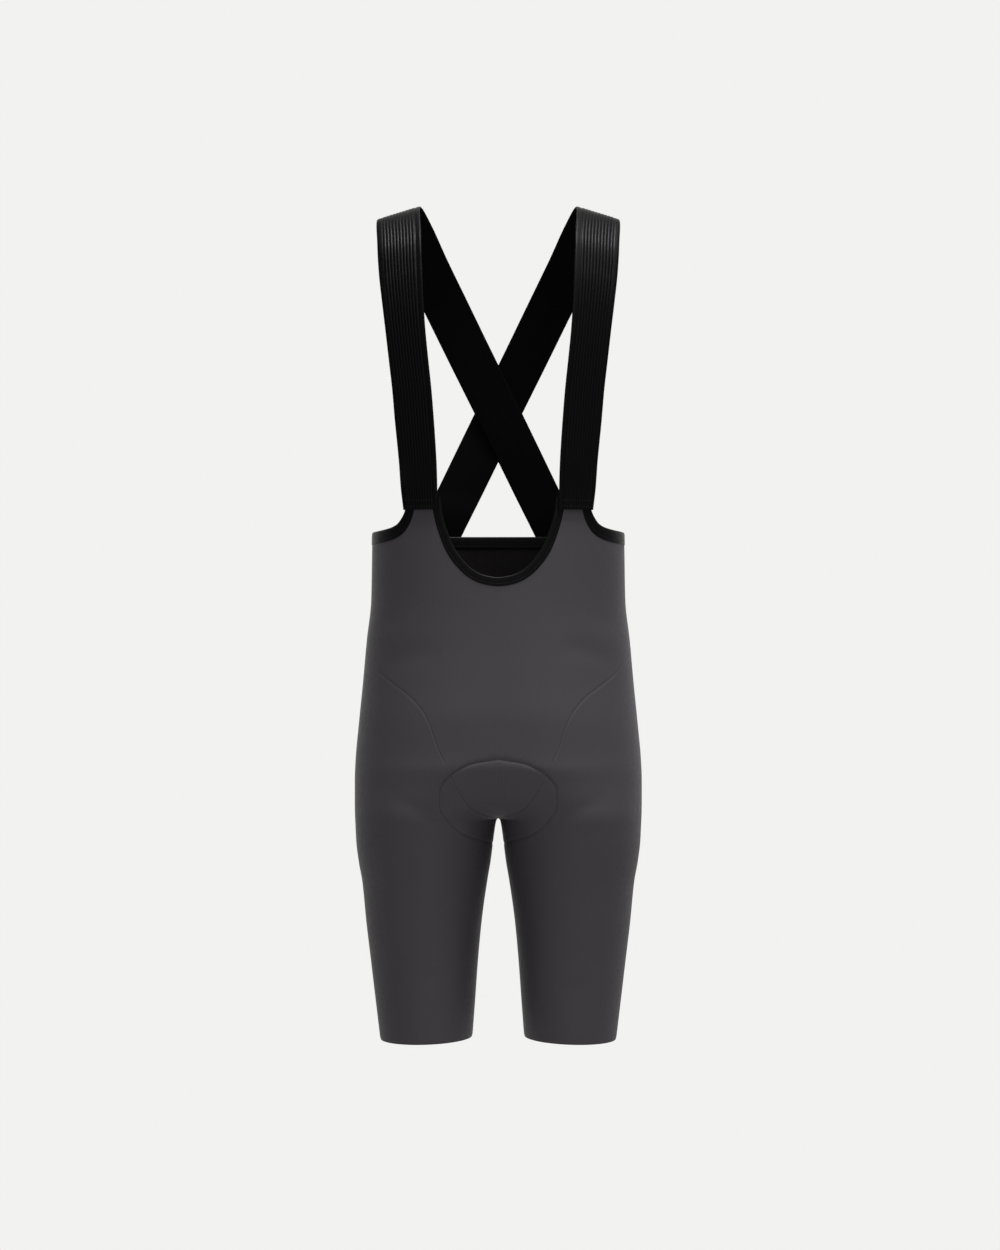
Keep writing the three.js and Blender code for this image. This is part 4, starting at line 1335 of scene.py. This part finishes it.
def knit_group():
    """Wales and courses of a fine knit, on a map in metres: the height of its loops."""
    inputs = (("Map", "Vector", None), ("Wales", "Float", 1200.0), ("Courses", "Float", 1500.0))
    group, given, result = new_group("fine_knit", inputs, (("Height", "Float"),))
    split = group.nodes.new("ShaderNodeSeparateXYZ")
    group.links.new(given.outputs["Map"], split.inputs[0])
    wale = math_node(group, "MULTIPLY", split.outputs["X"], given.outputs["Wales"])
    within = math_node(group, "FRACT", wale)
    from_middle = math_node(group, "ABSOLUTE", math_node(group, "SUBTRACT", within, 0.5))
    course = math_node(group, "MULTIPLY", split.outputs["Y"], given.outputs["Courses"])
    slanted = math_node(group, "MULTIPLY_ADD", from_middle, KNIT_LOOP["slant"], course)
    loop = math_node(group, "SINE", math_node(group, "MULTIPLY", slanted, 2 * math.pi))
    loop = math_node(group, "MULTIPLY_ADD", loop, KNIT_LOOP["swing"], KNIT_LOOP["base"])
    falls = math_node(group, "MULTIPLY", from_middle, KNIT_LOOP["crown"])
    crown = math_node(group, "SUBTRACT", 1.0, falls)
    height = math_node(group, "MULTIPLY", loop, crown)
    group.links.new(height, result.inputs["Height"])
    return group


def tone_group():
    """Slow changes of tone, a fine grain and a few specks of lint, as a factor on the colour."""
    inputs = (
        ("Place", "Vector", None),
        ("Patches", "Float", 0.05),
        ("Grain", "Float", 0.08),
        ("Lint", "Float", 0.3),
    )
    group, given, result = new_group("tone_and_lint", inputs, (("Factor", "Float"), ("Lint", "Float")))
    place = given.outputs["Place"]
    slow = math_node(group, "SUBTRACT", noise_node(group, place, TONE_SCALES["patches"], 2), 0.5)
    fine = math_node(group, "SUBTRACT", noise_node(group, place, TONE_SCALES["grain"], 2, 0.7), 0.5)
    factor = math_node(group, "MULTIPLY_ADD", slow, given.outputs["Patches"], 1.0)
    factor = math_node(group, "MULTIPLY_ADD", fine, given.outputs["Grain"], factor)
    cells = group.nodes.new("ShaderNodeTexVoronoi")
    cells.inputs["Scale"].default_value = TONE_SCALES["lint"]
    group.links.new(place, cells.inputs["Vector"])
    speck = range_node(group, cells.outputs["Distance"], 0.05, 0.02, 0.0, 1.0)
    sparse = range_node(group, noise_node(group, place, TONE_SCALES["sparse"], 1), 0.62, 0.7, 0.0, 1.0)
    lint = math_node(group, "MULTIPLY", math_node(group, "MULTIPLY", speck, sparse), given.outputs["Lint"])
    group.links.new(factor, result.inputs["Factor"])
    group.links.new(lint, result.inputs["Lint"])
    return group


def group_node(tree, group, links, values):
    node = tree.nodes.new("ShaderNodeGroup")
    node.node_tree = group
    for socket, source in links.items():
        tree.links.new(source, node.inputs[socket])
    for socket, value in values.items():
        node.inputs[socket].default_value = value
    return node


KNIT = knit_group()
TONE = tone_group()


USUAL_LOOK = {
    "patches": 0.08, "grain": 0.2, "lint": 0.05, "wales": 2300.0, "courses": 2700.0, "loop_shade": 0.15,
    "roughness": 0.45, "specular": 0.05, "sheen": 0.0, "bump": 0.3, "loop_depth": 0.05,
}


def fabric(name, colour, **own):
    """Fabric with the usual look, but for what is its own: knit, tone, roughness, shine or loops."""
    look = {**USUAL_LOOK, **own}
    material = bpy.data.materials.new(name)
    material.use_nodes = True
    tree = material.node_tree
    shader = tree.nodes["Principled BSDF"]
    coordinates = tree.nodes.new("ShaderNodeTexCoord")
    object_place, cloth_map = coordinates.outputs["Object"], coordinates.outputs["UV"]
    tone = group_node(
        tree, TONE, {"Place": object_place},
        {"Patches": look["patches"], "Grain": look["grain"], "Lint": look["lint"]})
    knit = group_node(
        tree, KNIT, {"Map": cloth_map}, {"Wales": look["wales"], "Courses": look["courses"]})
    shaded = math_node(
        tree, "MULTIPLY", tone.outputs["Factor"],
        range_node(tree, knit.outputs["Height"], 0.0, 1.0, 1 - look["loop_shade"], 1 + look["loop_shade"]))
    base = tree.nodes.new("ShaderNodeMix")
    base.data_type = "RGBA"
    base.blend_type = "MULTIPLY"
    base.inputs["Factor"].default_value = 1.0
    base.inputs["A"].default_value = (*colour, 1)
    grey = tree.nodes.new("ShaderNodeCombineColor")
    for channel in ("Red", "Green", "Blue"):
        tree.links.new(shaded, grey.inputs[channel])
    tree.links.new(grey.outputs["Color"], base.inputs["B"])
    linted = tree.nodes.new("ShaderNodeMix")
    linted.data_type = "RGBA"
    linted.inputs["B"].default_value = LINT_COLOUR
    tree.links.new(tone.outputs["Lint"], linted.inputs["Factor"])
    tree.links.new(base.outputs["Result"], linted.inputs["A"])
    tree.links.new(linted.outputs["Result"], shader.inputs["Base Color"])
    uneven = noise_node(tree, object_place, ROUGHNESS["scale"], 2)
    least, most = look["roughness"] - ROUGHNESS["swing"], look["roughness"] + ROUGHNESS["swing"]
    rough = range_node(tree, uneven, 0.3, 0.7, least, most)
    tree.links.new(rough, shader.inputs["Roughness"])
    shader.inputs["Specular IOR Level"].default_value = look["specular"]
    shader.inputs["Sheen Weight"].default_value = look["sheen"]
    bump = tree.nodes.new("ShaderNodeBump")
    bump.inputs["Strength"].default_value = look["bump"]
    bump.inputs["Distance"].default_value = look["loop_depth"] * MM
    tree.links.new(knit.outputs["Height"], bump.inputs["Height"])
    tree.links.new(bump.outputs["Normal"], shader.inputs["Normal"])
    return material


STRETCH_KNIT = fabric(
    "stretch_knit", (0.034, 0.0305, 0.0352), patches=0.05, grain=0.12, lint=0.12, loop_shade=0.1,
    roughness=0.6, specular=0.15, bump=0.35)
# The cloth's reverse face: a rougher knit of its own, with its colour darkened far below the outside's as
# painted shade of the garment's hollow inside.
KNIT_REVERSE_PAINTED_SHADE = fabric(
    "knit_reverse_painted_shade", (0.0042, 0.0034, 0.0042), grain=0.25, lint=0.15, loop_shade=0.12,
    roughness=0.85, specular=0.08, bump=0.5, loop_depth=0.12)
BINDING_TAPE = fabric(
    "binding_tape", (0.0011, 0.0011, 0.0012), wales=1900.0, courses=1500.0, loop_depth=0.06)
STRAP_ELASTIC = fabric(
    "strap_elastic_web", (0.0006, 0.0006, 0.00065), grain=0.1, lint=0.03, wales=1700.0, courses=1300.0,
    loop_shade=0.1, roughness=0.42, specular=0.045, bump=0.25)
STRAP_REVERSE = fabric(
    "strap_reverse", (0.0009, 0.0009, 0.001), lint=0.1, wales=900.0, courses=700.0,
    roughness=0.7, specular=0.02, bump=0.45, loop_depth=0.12)
PAD_FLEECE = fabric(
    "pad_fleece", (0.012, 0.0115, 0.0125), patches=0.12, grain=0.35, lint=0.25, wales=500.0,
    courses=600.0, loop_shade=0.12, roughness=0.88, specular=0.1, sheen=0.05, bump=0.6, loop_depth=0.25)
THREAD_LOOK = {"patches": 0.05, "lint": 0.0, "wales": 2500.0, "courses": 2500.0, "loop_shade": 0.2}
BLACK_THREAD = fabric("black_thread", (0.0035, 0.0035, 0.0038), **THREAD_LOOK, specular=0.12)
GREY_THREAD = fabric(
    "grey_thread", (0.018, 0.0165, 0.0185), **THREAD_LOOK, roughness=0.6, specular=0.15)


def finish_with(piece, outside, inside=None):
    """Gives the piece its finish. Its first slot is the outside, and its second one, if any, the inside."""
    slots = piece.data.materials
    if not slots:
        slots.append(outside)
        return
    slots[0] = outside
    slots[1] = inside or outside


# The garment

cloth = cloth_panels()
for made in cloth.values():
    finish_with(made, STRETCH_KNIT, KNIT_REVERSE_PAINTED_SHADE)

neck_points, neck_places = neck_line()
neck_run = (neck_points, np.full(len(neck_points), float(NECK_BINDING_WIDTH)), neck_open_side(neck_points))
neck_tape = binding("neck_binding_tape", *neck_run)
body_points, body_places = body_line()
body_run = (body_points, body_binding_width(body_places), body_open_side(body_points))
body_tape = binding("body_binding_tape", *body_run)
for made in (neck_tape, body_tape):
    finish_with(made, BINDING_TAPE)

left_form = StrapForm(1)
right_form = StrapForm(-1)
strap_left = strap("strap_left_elastic", left_form)
strap_right = strap("strap_right_elastic", right_form, mirror=True)
for made in (strap_left, strap_right):
    finish_with(made, STRAP_ELASTIC, STRAP_REVERSE)

cushion = cushion_piece()
finish_with(cushion, PAD_FLEECE)

binding_stitches = sewn_rows("binding_stitches", binding_rows(*neck_run) + binding_rows(*body_run))
strap_stitches = sewn_rows("strap_stitches", strap_rows(left_form, False) + strap_rows(right_form, True))
pad_stitches = sewn_rows("pad_stitches", pad_rows(cloth.values()), PAD_STITCH_THICK)
STITCHES = (
    (binding_stitches, BLACK_THREAD, "binding"),
    (strap_stitches, BLACK_THREAD, "strap_elastic"),
    (pad_stitches, GREY_THREAD, "cloth"),
)
for made, thread, slot_name in STITCHES:
    finish_with(made, thread)
    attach(made, "root")


# What stands for each solid, the solid, and the name of its finish slot; each piece hangs from the root and
# its solid is hidden

STANDS_FOR = (
    (cloth["front_panel"], "front_panel", "cloth"),
    (cloth["back_panel"], "back_panel", "cloth"),
    (cloth["leg_left"], "leg_left", "cloth"),
    (cloth["leg_right"], "leg_right", "cloth"),
    (cushion, "seat_pad", "padding"),
    (neck_tape, "neck_binding", "binding"),
    (body_tape, "body_binding", "binding"),
    (strap_left, "strap_left", "strap_elastic"),
    (strap_right, "strap_right", "strap_elastic"),
)
for made, node, slot_name in STANDS_FOR:
    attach(made, "root")
    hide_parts(node)


# Stage, light and camera

PAPER = (0.8879, 0.8879, 0.8714)
FLOOR_DEPTH = 1.25
FLOOR_SIZE = 14


def paper_floor():
    deselect()
    bpy.ops.mesh.primitive_plane_add(size=FLOOR_SIZE, location=(0, 0, -FLOOR_DEPTH))
    floor = bpy.context.object
    floor.name = "paper_floor"
    material = bpy.data.materials.new("pale_paper")
    material.use_nodes = True
    tree = material.node_tree
    shader = tree.nodes["Principled BSDF"]
    shader.inputs["Base Color"].default_value = (0, 0, 0, 1)
    shader.inputs["Specular IOR Level"].default_value = 0
    shader.inputs["Roughness"].default_value = 1
    shader.inputs["Emission Color"].default_value = (*PAPER, 1)
    shader.inputs["Emission Strength"].default_value = 1.0
    floor.data.materials.append(material)


# Light from all round, and what is added to it within a range of the cosine to a direction
AMBIENT = 0.12
WORLD_LIGHT_COLUMNS = ("direction", "from_cosine", "to_cosine", "strength")
WORLD_LIGHT = (
    ((0, -1, 0), 0.5, 0.9, 1.4),
    ((0, 1, 0), 0.3, 0.8, 1.7),
    ((1, 0, 0), 0.5, 0.9, 0.2),
)


def studio_world():
    """The paper's own colour to the eye; for light, bright in front and behind and dark at the sides."""
    world = bpy.data.worlds.new("studio")
    bpy.context.scene.world = world
    world.use_nodes = True
    tree = world.node_tree
    background = tree.nodes["Background"]
    coordinates = tree.nodes.new("ShaderNodeTexCoord")
    lit = None
    for numbers in WORLD_LIGHT:
        row = dict(zip(WORLD_LIGHT_COLUMNS, numbers))
        cosine = tree.nodes.new("ShaderNodeVectorMath")
        cosine.operation = "DOT_PRODUCT"
        cosine.inputs[1].default_value = row["direction"]
        tree.links.new(coordinates.outputs["Generated"], cosine.inputs[0])
        part = range_node(
            tree, cosine.outputs["Value"], row["from_cosine"], row["to_cosine"], 0.0, row["strength"])
        lit = math_node(tree, "ADD", part, AMBIENT if lit is None else lit)
    path = tree.nodes.new("ShaderNodeLightPath")
    strength = tree.nodes.new("ShaderNodeMix")
    strength.data_type = "FLOAT"
    tree.links.new(path.outputs["Is Camera Ray"], strength.inputs["Factor"])
    tree.links.new(lit, strength.inputs["A"])
    strength.inputs["B"].default_value = 1.0
    background.inputs["Color"].default_value = (*PAPER, 1)
    tree.links.new(strength.outputs["Result"], background.inputs["Strength"])


LIGHT_AIM = Vector((0, 0, -0.43))
LIGHT_DISTANCE = 8.0
LIGHT_SIZE = 2.6
LIGHTS = (("key_light", 42, 50, 140), ("top_light", 35, 80, 1700))


def soft_light(name, azimuth, elevation, power):
    """Square soft light round the garment: azimuth 0 is in front and 90 on the wearer's left."""
    turn, rise = math.radians(azimuth), math.radians(elevation)
    towards = Vector((math.sin(turn) * math.cos(rise), -math.cos(turn) * math.cos(rise), math.sin(rise)))
    light = bpy.data.lights.new(name, "AREA")
    light.shape = "SQUARE"
    light.size = LIGHT_SIZE
    light.energy = power
    lamp = bpy.data.objects.new(name, light)
    bpy.context.scene.collection.objects.link(lamp)
    lamp.location = LIGHT_AIM + LIGHT_DISTANCE * towards
    lamp.rotation_euler = (-towards).to_track_quat("-Z", "Y").to_euler()


paper_floor()
studio_world()
for light_row in LIGHTS:
    soft_light(*light_row)

CAMERA_DISTANCE = 3.0
CAMERA_SIDE = 0.0018
CAMERA_HEIGHT = -0.431
SEEN_HEIGHT = 1.3125
SENSOR = 36.0

camera_place = (CAMERA_SIDE, -CAMERA_DISTANCE, CAMERA_HEIGHT)
bpy.ops.object.camera_add(location=camera_place, rotation=(math.pi / 2, 0, 0))
camera = bpy.context.object
camera.data.sensor_width = SENSOR
camera.data.lens = SENSOR * CAMERA_DISTANCE / SEEN_HEIGHT
bpy.context.scene.camera = camera
bpy.context.scene.view_settings.view_transform = "Standard"

bpy.context.view_layer.update()
